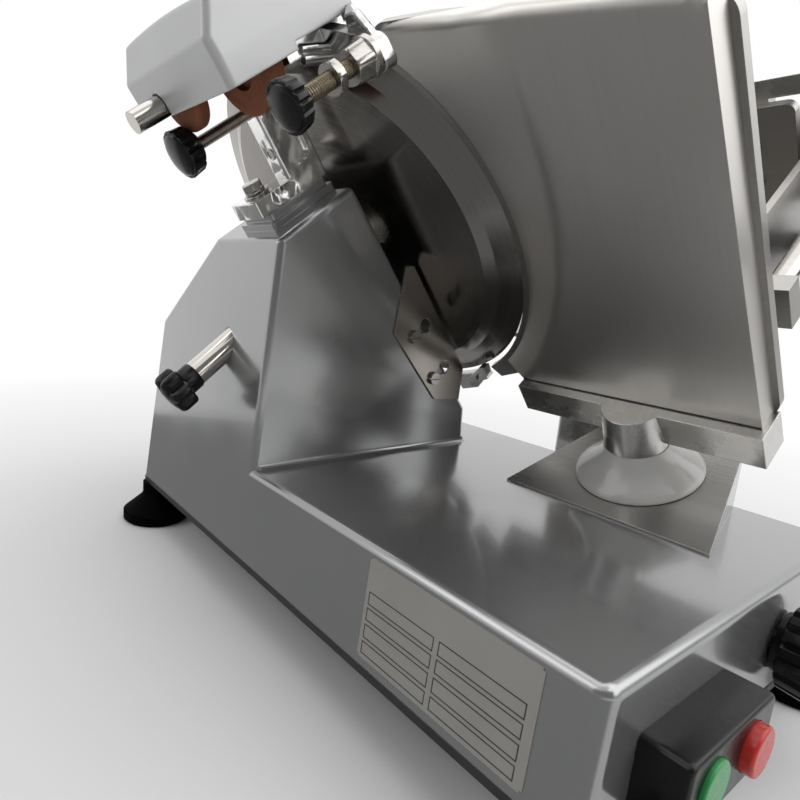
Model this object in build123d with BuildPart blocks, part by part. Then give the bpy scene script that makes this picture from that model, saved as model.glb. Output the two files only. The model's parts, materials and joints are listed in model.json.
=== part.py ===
from build123d import *
import os
from math import cos, hypot, radians, sin, tan

os.makedirs("parts", exist_ok=True)

# A gravity feed slicer with a 300 mm blade. Sizes are millimetres and degrees.
# Machine axes: x from the slice side to the carriage side, y from the operator's end to the
# back, z up from the deck. The model's own origin is on the table, under the middle.
middle_x = 142.2
middle_y = 207.5

# Fits
running_gap = 0.05
free_gap = 0.3
slip_gap = 0.02

# Base casting
base_length = 450.0
base_width = 262.0
base_height = 63.0
wall = 6.0
draft = 4.6
base_corner = 7.0
base_edge = 5.0
plate_thickness = 4.0
plate_proud = 0.5
foot_height = 35.0
foot_neck_radius = 12.0
foot_rim_radius = 29.0
foot_rim_height = 9.0
foot_x = (3.0, base_width - 3.0)
foot_y = (7.0, base_length - 7.0)
deck_height = base_height + plate_thickness + foot_height
lean = tan(radians(draft))
plate_screw_radius = 2.5
plate_screw_head = 4.5
plate_screw_length = 18.0
plate_boss_radius = 8.0
plate_screw_spots = (
    (18.0, 60.0),
    (100.0, base_length - 13.0),
    (base_width - 62.0, 20.0),
    (base_width - 62.0, base_length - 20.0),
)
gland_x = 60.0
gland_z = -34.0
gland_radius = 11.0
gland_length = 9.0
gland_neck_radius = 8.0
gland_bore = 4.0

# Blade and its drive, measured along the blade axis n from the cutting edge
blade_tilt = 40.0
blade_x = 119.0
blade_y = 313.0
blade_z = 171.0
blade_radius = 150.0
band_radius = blade_radius - 17.0
band_n = -5.5
disc_radius = blade_radius - 25.0
disc_n = -9.5
disc_thickness = 3.0
wall_n = -26.5
spindle_bore = 7.3
journal_radius = 12.5
neck_radius = 18.0
hub_radius = 35.0
hub_thickness = 7.0
blade_screw_circle = 26.0
blade_screw_radius = 3.0
bearing_radius = 26.0
bearing_width = 15.0
bearing_n = (-55.0, -72.0)
pulley_n = -94.0
spindle_end_n = pulley_n - 10.0
spindle_end_radius = 10.0
pulley_width = 18.0
blade_pulley_radius = 40.0
motor_pulley_radius = 16.0
pulley_distance = 88.0
belt_thickness = 2.5
belt_width = 13.0
motor_radius = 46.0
motor_length = 71.0
motor_shaft_radius = 6.0
bracket_n = -101.0
bracket_thickness = 5.0
cover_radius = blade_radius - 32.0
cover_n = -4.5
cover_thickness = 3.0
sleeve_radius = 6.5
sleeve_outer_radius = 9.0
sleeve_step_n = -112.0
sleeve_end_n = -178.0
tie_rod_radius = 4.0
tie_knob_n = -204.5
tie_knob_length = 26.0

# Guard round the back of the blade
guard_inner = blade_radius + 3.0
guard_outer = guard_inner + 8.0
guard_n = -7.0
guard_thickness = 8.0
guard_start = -118.0
guard_end = 12.0
guard_pillar_angles = (-90.0, -40.0)
lug_radius = blade_radius + 6.0
lug_middle = (-lug_radius * 5 / 13, -lug_radius * 12 / 13)
lug_outline = ((20, -10), (19, -16.5), (-2, -9), (-19, 8), (-20.5, 17), (-14, 15.5), (2, 2))
lug_slot = ((-4.5, 3.5), (-13, 11.5), (-5.5, -1))
lug_n = -9.0
lug_thickness = 6.0

# Pedestal
pedestal_front = 256.3
facet_u = 49.5
facet_tilt = 37.0
slant_foot_u = -163.0
rear_slope = 0.574
rear_start = 92.7
pedestal_edge = 5.0
cove = 4.0

# Scraper plate that lifts the slice off the blade
scraper_thickness = 1.3
scraper_corners = ((-22, -18), (-27, -12), (-129.5, -12), (-149, -30), (-129, -51), (-57, -55))
scraper_screws = ((-72.0, -40.5), (-113.5, -42.4))
scraper_slot = 14.0
scraper_screw_radius = 2.5
scraper_head_radius = 5.2

# Gauge plate, its post and the ramp that it slides on
ramp_tilt = 25.0
ramp_x = 150.5
ramp_rear_y = (167.0, 145.0)
ramp_front_y = (33.0, 55.0)
ramp_length = 96.0
ramp_sheet = 1.2
ramp_far_x = base_width - 10.0
hump_inset = 3.0
post_along = 53.5
post_y = 100.0
post_radius = 10.0
boss_radius = 19.0
skirt_radius = 38.5
skirt_height = 21.0
gauge_travel = 12.0
gauge_corner = 12.0
gauge_front_n = -0.5
gauge_plate_thickness = 5.5
gauge_back_n = -21.0
gauge_cover_wall = 2.5
gauge_arc = blade_radius + 3.0
gauge_left = -287.0
gauge_outline = (
    (gauge_left, -122), (gauge_left, 94), (-150, 123), (-112, 129), (-100, 118),
    (-60, -100), (-92, -136), (-126, -122),
)
cover_left = gauge_left + 3.0
cover_top = ((cover_left, 101), (-205, 117.5), (-172, 120), (-130, 126), (-116, 127.5), (-104, 117))
cover_edge = 6.0
flare_start = gauge_arc + 4.0
flare_centre = (39.7, 53.1)
flare_spread = 83.4
flare_steps = ((0.0, 0.0), (0.82, 0.82), (1.0, 0.94), (1.2, 1.0))
gauge_foot_u = -116.2
bar_height = 23.0
bar_back_n = -28.3
bar_start = -131.0
block_depth = 28.0
guide_rod_radius = 5.0
guide_rod_spread = 16.0
follower_spot = (-32.5, -13.0)
follower_radius = 3.0
index_shaft_radius = 6.0
index_turn = 270.0
cam_radius = 24.0
cam_y = 62.0
cam_thickness = 8.0
cam_groove_depth = 5.0
cam_closed = 18.0
cam_gap = 0.4

# Carriage, food tray and pusher
rail_x = base_width - 26.0
rail_z = 23.0 - base_height
rail_radius = 8.0
rail_margin = 12.0
carriage_y = 178.0
carriage_forward = 105.0
carriage_back = 195.0
slider_length = 70.0
leg_x = (base_width + 18.0, base_width + 42.0)
leg_width = 77.0
arm_z = (rail_z, rail_z + 16.0)
roller_radius = 10.0
tray_lock_drop = 80.5
tray_u = -104.0
tray_thickness = 4.0
tray_n = (8.0, 225.0)
tray_y = (-260.0, -10.0)
tray_wall_u = -40.0
tray_end_u = -70.0
handle_n = 120.0
handle_stem = 22.0
handle_stem_radius = 7.0
handle_radius = 15.0
handle_length = 90.0
pusher_rod_radius = 6.0
pusher_rod_spot = (-276.0, -62.0)
pusher_rod_n = (12.0, 221.0)
pusher_n = 160.0

# Sharpener, on the pedestal's inclined top: a across the machine, d to the back, b upwards
pad_a = (-58.0, -1.0)
pad_d = (20.0, 66.0)
pad_step = 5.0
pad_ledge = 3.0
pad_corner = 2.0
bracket_d = (26.0, 60.0)
bracket_b = 10.0
bracket_foot = 11.0
bracket_a = (-60.0, 2.0)
upright_a = -28.0
recess_size = (18.0, 38.0)
recess_corner = 6.0
recess_depth = 3.0
upright_d = (bracket_d[0], 42.0)
upright_b = 80.0
bolt_spot = (-46.0, 43.0)
bolt_radius = 4.0
washer_thickness = (1.6, 2.0)
bolt_flats = 13.0
bolt_head = 5.5
post_a = -13.0
post_d = 35.5
lift_post_radius = 5.0
lock_d = 37.0
lock_b = 67.0
lock_radius = 4.0
adjust_d = -74.0
adjust_b = 70.8
adjust_radius = 4.6
adjust_a = (-66.0, -3.5)
lock_a = (-76.0, -18.3)
ear_a = (-12.0, -4.0)
ear_rounds = (((-46.0, 82.0), 9.0), ((-76.5, 72.0), 7.0), ((-80.3, 65.5), 4.5))
ear_rods = (((-28.7, 87.4), (-5.0, 79.3)), ((-29.8, 82.3), (-6.0, 74.2)))
ear_rod_radius = 2.7
body_a = (-38.0, 5.0)
body_d = (-46.0, 58.0)
body_b = (84.0, 104.0)
hood_a = (-80.0, 10.0)
hood_d = (-54.0, 62.5)
hood_b = 88.0
hood_end_crease = 112.0
hood_end_lean = 35.0
hood_front_crease = 102.0
hood_front_top = (-52.0, 126.7)
hood_crown = (10.0, 130.5)
hood_rear_top = 129.5
hood_edge = 4.0
hood_wall = 2.5
hood_notch_a = -35.0
hood_notch_rise = 4.0
hood_bevel_d = 33.0
hood_bevel_rise = 13.0
pin_d = 30.0
pin_b = 94.5
pin_radius = 6.5
pin_shaft_radius = 4.0
pin_depth = 36.0
pin_a = (-100.0, -76.0)
pin_shaft_end = -19.0
stone_axle_radius = 4.0
stone_axle_a = (-58.0, -34.0)
fine_stone_a = (-70.0, -60.0)
grind_stone_a = (-52.0, -40.0)
grind_dish_radius = 13.0
grind_dish_depth = 4.0
stone_nut_thickness = 4.6
thin_nut_a = (-40.0, -35.0)
thin_nut_flats = 16.0
long_nut_flats = 20.0
long_nut_length = 15.0
long_nut_corner = 2.0
long_nut_taper = 5.0
fine_stone_radius = 21.0
fine_stone_edge = 3.0
grind_stone_spot = (-18.0, 95.0)
grind_stone_radius = 27.0

# Switch on the operator's end
switch_x = (25.0, 103.0)
switch_z = (-60.0, -26.5)
switch_depth = 20.0
button_radius = 11.0
button_x = (46.0, 82.0)


def at(x, y, z):
    """A point of the machine, in the model's own frame."""
    return Vector(x - middle_x, y - middle_y, z + deck_height)


def moved(plane, x=0.0, y=0.0, z=0.0):
    """The same plane with its origin moved along its own axes."""
    return Plane(origin=plane.from_local_coords(Vector(x, y, z)), x_dir=plane.x_dir, z_dir=plane.z_dir)


def blade_xz(u, n):
    """Machine x and z of a point given up the blade plane and along the blade axis."""
    tilt = radians(blade_tilt)
    return blade_x - u * sin(tilt) + n * cos(tilt), blade_z + u * cos(tilt) + n * sin(tilt)


def ramp_xz(along, height):
    """Machine x and z of a point given up the ramp and square to it."""
    tilt = radians(ramp_tilt)
    return ramp_x + along * cos(tilt) - height * sin(tilt), along * sin(tilt) + height * cos(tilt)


def cross_section(y):
    """A plane square to the machine's length: its own x and y are the machine's x and z."""
    return Plane(origin=at(0, y, 0), x_dir=(1, 0, 0), z_dir=(0, -1, 0))


deck_plane = Plane(origin=at(0, 0, 0), x_dir=(1, 0, 0), z_dir=(0, 0, 1))
blade_axis = Vector(cos(radians(blade_tilt)), 0, sin(radians(blade_tilt)))
blade_plane = Plane(origin=at(blade_x, blade_y, blade_z), x_dir=(0, 1, 0), z_dir=blade_axis)

ramp_across = Vector(cos(radians(ramp_tilt)), 0, sin(radians(ramp_tilt)))
ramp_up = Vector(-sin(radians(ramp_tilt)), 0, cos(radians(ramp_tilt)))
ramp_plane = Plane(origin=at(ramp_x, 0, 0), x_dir=ramp_across, z_dir=ramp_up)
post_plane = moved(ramp_plane, post_along, post_y, 0)
block_plane = moved(post_plane, z=-block_depth)
guide_plane = Plane(origin=block_plane.origin, x_dir=(0, 1, 0), z_dir=ramp_across)

follower_x, follower_z = ramp_xz(post_along + follower_spot[0], follower_spot[1] - block_depth)
index_x = follower_x - cam_closed * cos(radians(ramp_tilt))
index_z = follower_z - cam_closed * sin(radians(ramp_tilt))

facet_x, facet_z = blade_xz(facet_u, wall_n)
facet_across = Vector(cos(radians(facet_tilt)), 0, sin(radians(facet_tilt)))
facet_up = Vector(-sin(radians(facet_tilt)), 0, cos(radians(facet_tilt)))
facet_plane = Plane(origin=at(facet_x, pedestal_front, facet_z), x_dir=facet_across, z_dir=facet_up)
facet_end = Plane(origin=facet_plane.origin, x_dir=(0, 1, 0), z_dir=facet_across)


def end_plane(a, d, b):
    """A plane square to the sharpener's own cross direction, at the given place."""
    return Plane(origin=facet_plane.from_local_coords(Vector(a, d, b)), x_dir=(0, 1, 0), z_dir=facet_across)


sleeve_plane = moved(blade_plane, z=sleeve_end_n)
gland_reach = wall + 4
gland_spot = at(gland_x, base_length - gland_z * lean, gland_z)
gland_plane = Plane(origin=gland_spot, x_dir=(1, 0, 0), z_dir=(0, 1, lean))


def box(plane, across, along, up, corner=0.0, mode=Mode.ADD):
    """A block given by its two limits along each of the plane's own axes."""
    size = (across[1] - across[0], along[1] - along[0])
    with BuildSketch(moved(plane, z=up[0])) as face:
        with Locations(((across[0] + across[1]) / 2, (along[0] + along[1]) / 2)):
            Rectangle(*size)
        if corner:
            fillet(face.vertices(), corner)
    extrude(face.sketch, amount=up[1] - up[0], mode=mode)


def bar(plane, radius, length, mode=Mode.ADD):
    """A round bar that starts on the plane."""
    with BuildSketch(plane) as face:
        Circle(radius)
    extrude(face.sketch, amount=length, mode=mode)


def tube(plane, outer, inner, length):
    """A tube that starts on the plane."""
    with BuildSketch(plane) as face:
        Circle(outer)
        Circle(inner, mode=Mode.SUBTRACT)
    extrude(face.sketch, amount=length)


def hexagon(plane, across_flats, bore, length):
    """A six-sided nut or bolt head that starts on the plane."""
    with BuildSketch(plane) as face:
        RegularPolygon(across_flats / 2, 6, major_radius=False)
        if bore:
            Circle(bore, mode=Mode.SUBTRACT)
    extrude(face.sketch, amount=length)


def fluted_knob(plane, radius, length, dome, bore, bore_depth):
    """A black clamp knob whose domed front faces along the plane's normal."""
    flutes = 14
    collar = length * 0.18
    with BuildSketch(moved(plane, z=collar)) as grip:
        Circle(radius)
        with PolarLocations(radius + 0.9, flutes):
            Circle(1.9, mode=Mode.SUBTRACT)
    extrude(grip.sketch, amount=length - dome - collar)
    bar(plane, radius * 0.72, collar)
    cap_radius = (radius**2 + dome**2) / (2 * dome)
    with BuildSketch(Plane(origin=plane.origin, x_dir=plane.x_dir, z_dir=-plane.y_dir)) as half:
        with BuildLine():
            foot = (0, length - dome)
            rim = (radius, length - dome)
            top = (0, length)
            Line(foot, rim)
            RadiusArc(rim, top, -cap_radius)
            Line(top, foot)
        make_face()
    revolve(half.sketch, axis=Axis(plane.origin, plane.z_dir))
    bar(plane, bore, bore_depth, mode=Mode.SUBTRACT)


def turned(plane, points):
    """A turned piece: the outline holds radius and height pairs, spun about the plane's normal."""
    with BuildSketch(Plane(origin=plane.origin, x_dir=plane.x_dir, z_dir=-plane.y_dir)) as half:
        Polygon(*points, align=None)
    revolve(half.sketch, axis=Axis(plane.origin, plane.z_dir))


def pedestal_profile(floor_z):
    """Corners of the pedestal's cross section, from a given height up."""
    tilt = radians(facet_tilt)
    run = (facet_x - facet_z * lean) / (cos(tilt) - sin(tilt) * lean)
    left = (facet_x - run * cos(tilt), facet_z - run * sin(tilt))
    low = blade_xz(slant_foot_u, wall_n)
    foot_right = low[0] + 1.5
    return [(floor_z * lean, floor_z), left, (facet_x, facet_z), low, (foot_right, 0), (foot_right, floor_z)]


def slope_cut(drop):
    """The wedge above the pedestal's rear slope, lowered by a distance square to the slope."""
    reach = 220.0
    before = 40.0
    fall = drop * hypot(1, rear_slope)
    corners = (
        (rear_start - before, before * rear_slope - fall),
        (rear_start + reach, -reach * rear_slope - fall),
        (rear_start + reach, reach),
        (rear_start - before, reach),
    )
    with BuildSketch(facet_end) as wedge:
        Polygon(*corners, align=None)
    extrude(wedge.sketch, amount=reach, both=True, mode=Mode.SUBTRACT)


def ramp_plan(inset):
    """Plan of the ramp, drawn in from its edges."""
    far = ramp_far_x + hump_inset - inset
    near = ramp_x + inset
    narrowing = (ramp_rear_y[0] - ramp_rear_y[1]) / ramp_length
    taper = (far - ramp_x) * narrowing
    return (
        (near, ramp_front_y[0] + inset),
        (far, ramp_front_y[0] + inset + taper),
        (far, ramp_rear_y[0] - inset - taper),
        (near, ramp_rear_y[0] - inset),
    )


def ramp_hump(inset, top, floor_z):
    """The raised part of the deck under the ramp sheet."""
    with BuildPart() as hump:
        low = ramp_xz(inset, top)
        high = ramp_xz(ramp_length, top)
        far_x = ramp_far_x + 3 * hump_inset
        with BuildSketch(cross_section(base_length)) as profile:
            Polygon((low[0], floor_z), low, high, (far_x, high[1]), (far_x, floor_z), align=None)
        extrude(profile.sketch, amount=base_length)
        with BuildSketch(moved(deck_plane, z=-base_height)) as plan:
            Polygon(*ramp_plan(inset), align=None)
        extrude(plan.sketch, amount=3 * base_height, mode=Mode.INTERSECT)
    return hump.part


# Outer forms and inner room of the base casting
side_lean = base_height * lean
rear_face = Plane(origin=at(0, base_length, 0), x_dir=(1, 0, 0), z_dir=(0, 1, lean))


def rear_trim(depth):
    """Cuts off what stands behind the leaning rear face, moved in by a depth."""
    size = base_length
    box(moved(rear_face, z=-depth), (-size, size), (-size, size), (0, size), mode=Mode.SUBTRACT)


with BuildPart() as base_block:
    with BuildSketch(cross_section(base_length + side_lean)):
        Polygon(
            (-side_lean, -base_height), (0, 0), (base_width, 0),
            (base_width + side_lean, -base_height), align=None
        )
    extrude(amount=base_length + side_lean)
    rear_trim(0.0)
    corner_edges = base_block.edges().filter_by(
        lambda edge: edge.bounding_box().size.Z > base_height / 2
    )
    fillet(corner_edges, base_corner)
    fillet(base_block.edges().group_by(Axis.Z)[-1], base_edge)

with BuildPart() as pedestal_block:
    with BuildSketch(cross_section(base_length + side_lean)):
        Polygon(*pedestal_profile(-base_height / 3), align=None)
    extrude(amount=base_length + side_lean - pedestal_front)
    slope_cut(0.0)
    rear_trim(0.0)
    rear_edges = pedestal_block.edges().filter_by(
        lambda edge: abs(rear_face.to_local_coords(edge.center()).Z) < slip_gap
        and edge.bounding_box().size.Z > 8 * wall
    )
    fillet(rear_edges, base_corner)
    top_edges = pedestal_block.edges().filter_by(
        lambda edge: edge.center().Z > deck_height + 2 * pedestal_edge
        and edge.center().Y < base_length - middle_y - 5 * pedestal_edge
    )
    fillet(top_edges, pedestal_edge)

with BuildPart() as pedestal_room:
    with BuildSketch(cross_section(base_length - wall)):
        Polygon(*pedestal_profile(-2.0 * base_height), align=None)
        offset(amount=-wall, mode=Mode.REPLACE)
    extrude(amount=base_length - pedestal_front - 2 * wall)
    slope_cut(wall)
    rear_trim(wall)

hump_block = ramp_hump(hump_inset, -ramp_sheet, -4.0)
hump_room = ramp_hump(hump_inset + wall, -ramp_sheet - wall, -base_height)

with BuildPart() as base_housing:
    add(base_block.part)
    add(pedestal_block.part)
    add(hump_block)

    # Cove where the pedestal's front meets the deck
    cove_foot = at(base_edge, pedestal_front, 0)
    with BuildSketch(Plane(origin=cove_foot, x_dir=(0, 1, 0), z_dir=(1, 0, 0))) as cove_profile:
        with BuildLine():
            CenterArc((-cove, cove), cove, -90, 90)
            Polyline((0, cove), (1, cove), (1, -1), (-cove, -1), (-cove, 0))
        make_face()
    extrude(cove_profile.sketch, amount=blade_xz(slant_foot_u, wall_n)[0] - base_edge)

    # Pad under the sharpener bracket, in two steps
    box(facet_plane, pad_a, pad_d, (-2, pad_step), corner=pad_corner)
    upper_a = (pad_a[0] + pad_ledge, pad_a[1] - pad_ledge)
    upper_d = (pad_d[0] + pad_ledge, pad_d[1] - pad_ledge)
    box(facet_plane, upper_a, upper_d, (pad_step, 2 * pad_step), corner=pad_corner)

    # Hollow inside, open at the bottom
    room_x = (wall, base_width - wall)
    box(deck_plane, room_x, (wall, base_length - wall), (-base_height, -wall), mode=Mode.SUBTRACT)
    add(pedestal_room.part, mode=Mode.SUBTRACT)
    add(hump_room, mode=Mode.SUBTRACT)

    # Lugs for the carriage rail and bosses for the bottom plate's screws
    rail_lug_x = (rail_x - 14, rail_x + 14)
    box(deck_plane, rail_lug_x, (wall - 1, wall + 18), (rail_z - 14, -wall + 1))
    box(deck_plane, rail_lug_x, (base_length - wall - 18, base_length - wall + 1), (rail_z - 14, -wall + 1))
    rail_room = moved(cross_section(base_length - rail_margin), rail_x, rail_z)
    bar(rail_room, rail_radius, base_length - 2 * rail_margin, mode=Mode.SUBTRACT)
    for spot in plate_screw_spots:
        screw_floor = moved(deck_plane, spot[0], spot[1], -base_height)
        bar(screw_floor, plate_boss_radius, base_height - wall + 1)
        bar(screw_floor, plate_screw_radius, plate_screw_length, mode=Mode.SUBTRACT)

    # Two pairs of lugs for the gauge's guide rods, with the follower's way between them
    for side in (-1, 1):
        rod_y = side * guide_rod_spread
        low_lug = moved(block_plane, -38, rod_y, 0)
        box(low_lug, (-5, 5), (-7, 7), (-9, 22))
        high_lug = moved(block_plane, 30, rod_y, 0)
        box(high_lug, (-5, 5), (-7, 7), (-9, 22))
        bar(moved(guide_plane, rod_y, 0, -40), guide_rod_radius, 73.0, mode=Mode.SUBTRACT)
    with BuildSketch(moved(ramp_plane, z=-20)) as post_way:
        with Locations((post_along - gauge_travel / 2, post_y)):
            SlotCenterToCenter(gauge_travel, 2 * post_radius + 2.4)
    extrude(post_way.sketch, amount=25.0, mode=Mode.SUBTRACT)

    # Long opening for the carriage arm, and the holes for shafts, screws and cable
    slot_end = leg_width / 2 + 4
    slot_y = (carriage_y - carriage_forward - slot_end, carriage_y + carriage_back + slot_end)
    slot_x = (base_width - wall - 3, base_width + 10)
    box(deck_plane, slot_x, slot_y, (arm_z[0] - 2, arm_z[1] + 2), mode=Mode.SUBTRACT)
    bar(moved(blade_plane, z=wall_n - 12), neck_radius + 5, 24.0, mode=Mode.SUBTRACT)
    bar(sleeve_plane, sleeve_outer_radius + slip_gap, sleeve_step_n - sleeve_end_n, mode=Mode.SUBTRACT)
    index_hole = moved(cross_section(wall + 6), index_x, index_z)
    bar(index_hole, index_shaft_radius + running_gap, wall + 12, mode=Mode.SUBTRACT)
    bar(moved(gland_plane, z=-gland_reach), gland_neck_radius, gland_reach + 1, mode=Mode.SUBTRACT)
    for spot in scraper_screws:
        screw_x, screw_z = blade_xz(spot[0], spot[1])
        bar(moved(cross_section(pedestal_front + wall + 1), screw_x, screw_z), scraper_screw_radius, wall + 4,
            mode=Mode.SUBTRACT)
    bar(moved(facet_plane, *bolt_spot, -2 * wall), bolt_radius, 5 * wall, mode=Mode.SUBTRACT)
base_housing.part.label = "base_housing"
export_step(base_housing.part, "parts/base_housing.step")

# Bottom plate, its screws and the four feet
with BuildPart() as base_plate:
    plate_x = (-side_lean - plate_proud, base_width + side_lean + plate_proud)
    plate_y = (-plate_proud, base_length + side_lean + plate_proud)
    plate_z = (-base_height - plate_thickness, -base_height)
    box(deck_plane, plate_x, plate_y, plate_z, corner=base_corner)
    for spot in plate_screw_spots:
        screw_floor = moved(deck_plane, spot[0], spot[1], plate_z[0])
        bar(screw_floor, plate_screw_radius, plate_thickness, mode=Mode.SUBTRACT)
base_plate.part.label = "base_plate"
export_step(base_plate.part, "parts/base_plate.step")

with BuildPart() as base_plate_screws:
    for spot in plate_screw_spots:
        screw_floor = moved(deck_plane, spot[0], spot[1], plate_z[0])
        bar(screw_floor, plate_screw_radius - slip_gap, plate_screw_length)
        bar(screw_floor, plate_screw_head, -plate_screw_radius)
base_plate_screws.part.label = "base_plate_screws"
export_step(base_plate_screws.part, "parts/base_plate_screws.step")

with BuildPart() as rubber_feet:
    for x in foot_x:
        for y in foot_y:
            floor = moved(deck_plane, x, y, -deck_height)
            turned(
                floor,
                ((0, 0), (foot_rim_radius - 2, 0), (foot_rim_radius, 2), (foot_rim_radius, foot_rim_height),
                 (foot_neck_radius + 2, foot_height - 13), (foot_neck_radius, foot_height - 10),
                 (foot_neck_radius, foot_height), (0, foot_height)),
            )
rubber_feet.part.label = "rubber_feet"
export_step(rubber_feet.part, "parts/rubber_feet.step")

with BuildPart() as cord_gland:
    bar(gland_plane, gland_radius, gland_length)
    fillet(cord_gland.edges().sort_by(Axis(gland_plane.origin, gland_plane.z_dir))[-1], gland_bore / 2)
    bar(moved(gland_plane, z=-gland_reach), gland_neck_radius - slip_gap, gland_reach)
    bar(moved(gland_plane, z=-gland_reach), gland_bore, gland_reach + gland_length, mode=Mode.SUBTRACT)
cord_gland.part.label = "cord_gland"
export_step(cord_gland.part, "parts/cord_gland.step")

# Switch box and its two push buttons
with BuildPart() as switch_box:
    box(cross_section(0), switch_x, switch_z, (0, switch_depth))
    fillet(switch_box.edges().filter_by(Axis.Y), 4.0)
    fillet(switch_box.edges().group_by(Axis.Y)[0], 2.5)
    for x in button_x:
        socket = moved(cross_section(-switch_depth), x, (switch_z[0] + switch_z[1]) / 2, -9)
        bar(socket, button_radius + free_gap, 12.0, mode=Mode.SUBTRACT)
switch_box.part.label = "switch_box"
export_step(switch_box.part, "parts/switch_box.step")

button_plane = moved(cross_section(-switch_depth), 0, (switch_z[0] + switch_z[1]) / 2, -4)
with BuildPart() as on_button:
    bar(moved(button_plane, button_x[0]), button_radius, 6.0)
    fillet(on_button.edges().group_by(Axis.Y)[0], 1.0)
on_button.part.label = "on_button"
export_step(on_button.part, "parts/on_button.step")

with BuildPart() as off_button:
    bar(moved(button_plane, button_x[1]), button_radius, 9.0)
    fillet(off_button.edges().group_by(Axis.Y)[0], 1.5)
off_button.part.label = "off_button"
export_step(off_button.part, "parts/off_button.step")

# Blade on its hollow spindle
hub_n = disc_n - hub_thickness
with BuildPart() as blade:
    bore = spindle_bore + 0.7
    front = disc_n + disc_thickness
    turned(
        blade_plane,
        ((bore, disc_n), (disc_radius, disc_n), (band_radius, band_n), (blade_radius, 0),
         (blade_radius - 8, -0.8), (band_radius - 2, band_n + 2.6), (disc_radius - 3, front), (bore, front)),
    )
    with BuildSketch(moved(blade_plane, z=hub_n)) as screw_holes:
        with PolarLocations(blade_screw_circle, 4):
            Circle(blade_screw_radius)
    extrude(screw_holes.sketch, amount=20.0, mode=Mode.SUBTRACT)
blade.part.label = "blade"
export_step(blade.part, "parts/blade.step")

with BuildPart() as blade_spindle:
    seat_n = bearing_n[0] + bearing_width
    turned(
        blade_plane,
        ((spindle_bore, spindle_end_n), (spindle_end_radius, spindle_end_n),
         (spindle_end_radius, pulley_n - 1), (journal_radius, pulley_n - 1), (journal_radius, seat_n + 6),
         (neck_radius, seat_n + 6), (neck_radius, hub_n), (hub_radius, hub_n), (hub_radius, disc_n),
         (spindle_bore, disc_n)),
    )
    with BuildSketch(moved(blade_plane, z=hub_n)) as screw_holes:
        with PolarLocations(blade_screw_circle, 4):
            Circle(blade_screw_radius)
    extrude(screw_holes.sketch, amount=20.0, mode=Mode.SUBTRACT)
blade_spindle.part.label = "blade_spindle"
export_step(blade_spindle.part, "parts/blade_spindle.step")

with BuildPart() as blade_screws:
    with BuildSketch(moved(blade_plane, z=hub_n)) as shanks:
        with PolarLocations(blade_screw_circle, 4):
            Circle(blade_screw_radius - slip_gap)
    extrude(shanks.sketch, amount=hub_thickness + disc_thickness)
    with BuildSketch(moved(blade_plane, z=disc_n + disc_thickness)) as heads:
        with PolarLocations(blade_screw_circle, 4):
            Circle(blade_screw_radius + 2.2)
    extrude(heads.sketch, amount=1.2)
blade_screws.part.label = "blade_screws"
export_step(blade_screws.part, "parts/blade_screws.step")

with BuildPart() as blade_pulley:
    tube(moved(blade_plane, z=pulley_n), blade_pulley_radius, journal_radius + slip_gap, pulley_width)
blade_pulley.part.label = "blade_pulley"
export_step(blade_pulley.part, "parts/blade_pulley.step")

with BuildPart() as spindle_housing:
    inner_wall_n = wall_n - wall
    turned(
        blade_plane,
        ((bearing_radius + slip_gap, -74), (33, -74), (33, -41), (38, -41), (38, inner_wall_n),
         (neck_radius + 1.5, inner_wall_n), (neck_radius + 1.5, seat_n), (bearing_radius + slip_gap, seat_n)),
    )
spindle_housing.part.label = "spindle_housing"
export_step(spindle_housing.part, "parts/spindle_housing.step")

with BuildPart() as spindle_bearings:
    for n in bearing_n:
        tube(moved(blade_plane, z=n), bearing_radius, journal_radius + running_gap, bearing_width)
spindle_bearings.part.label = "spindle_bearings"
export_step(spindle_bearings.part, "parts/spindle_bearings.step")

# Motor, its bracket, pulley and belt
motor_plane = moved(blade_plane, 0, -pulley_distance, 0)
with BuildPart() as motor:
    bar(moved(motor_plane, z=bracket_n - motor_length), motor_radius, motor_length)
    fillet(motor.edges().filter_by(GeomType.CIRCLE), 5.0)
    front_wall = pedestal_front + wall - blade_y
    bracket_half = motor_radius + 5
    box(moved(motor_plane, z=bracket_n), (front_wall, bracket_half), (-bracket_half, bracket_half),
        (0, bracket_thickness))
    bar(moved(motor_plane, z=bracket_n - 12), motor_shaft_radius + running_gap, 20.0, mode=Mode.SUBTRACT)
motor.part.label = "motor"
export_step(motor.part, "parts/motor.step")

with BuildPart() as motor_pulley:
    bar(moved(motor_plane, z=pulley_n), motor_pulley_radius, pulley_width)
    bar(moved(motor_plane, z=bracket_n - 11), motor_shaft_radius, pulley_n - bracket_n + 11)
motor_pulley.part.label = "motor_pulley"
export_step(motor_pulley.part, "parts/motor_pulley.step")

with BuildPart() as drive_belt:
    belt_plane = moved(blade_plane, z=pulley_n + (pulley_width - belt_width) / 2)
    for grow, how in ((free_gap + belt_thickness, Mode.ADD), (free_gap, Mode.SUBTRACT)):
        with BuildSketch(belt_plane) as loop:
            Circle(blade_pulley_radius + grow)
            with Locations((0, -pulley_distance)):
                Circle(motor_pulley_radius + grow)
            make_hull()
        extrude(loop.sketch, amount=belt_width, mode=how)
drive_belt.part.label = "drive_belt"
export_step(drive_belt.part, "parts/drive_belt.step")

# Blade cover, held by a tie rod through a fixed sleeve in the hollow spindle
cover_seat_n = cover_n - 1.0
with BuildPart() as blade_cover:
    bar(moved(blade_plane, z=cover_n), cover_radius, cover_thickness)
    fillet(blade_cover.edges().sort_by(Axis(blade_plane.origin, blade_axis))[-1], 1.5)
    bar(moved(blade_plane, z=cover_seat_n), 14.0, 1.5)
    bar(moved(blade_plane, z=cover_seat_n), tie_rod_radius + running_gap, 3.2, mode=Mode.SUBTRACT)
blade_cover.part.label = "blade_cover"
export_step(blade_cover.part, "parts/blade_cover.step")

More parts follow.
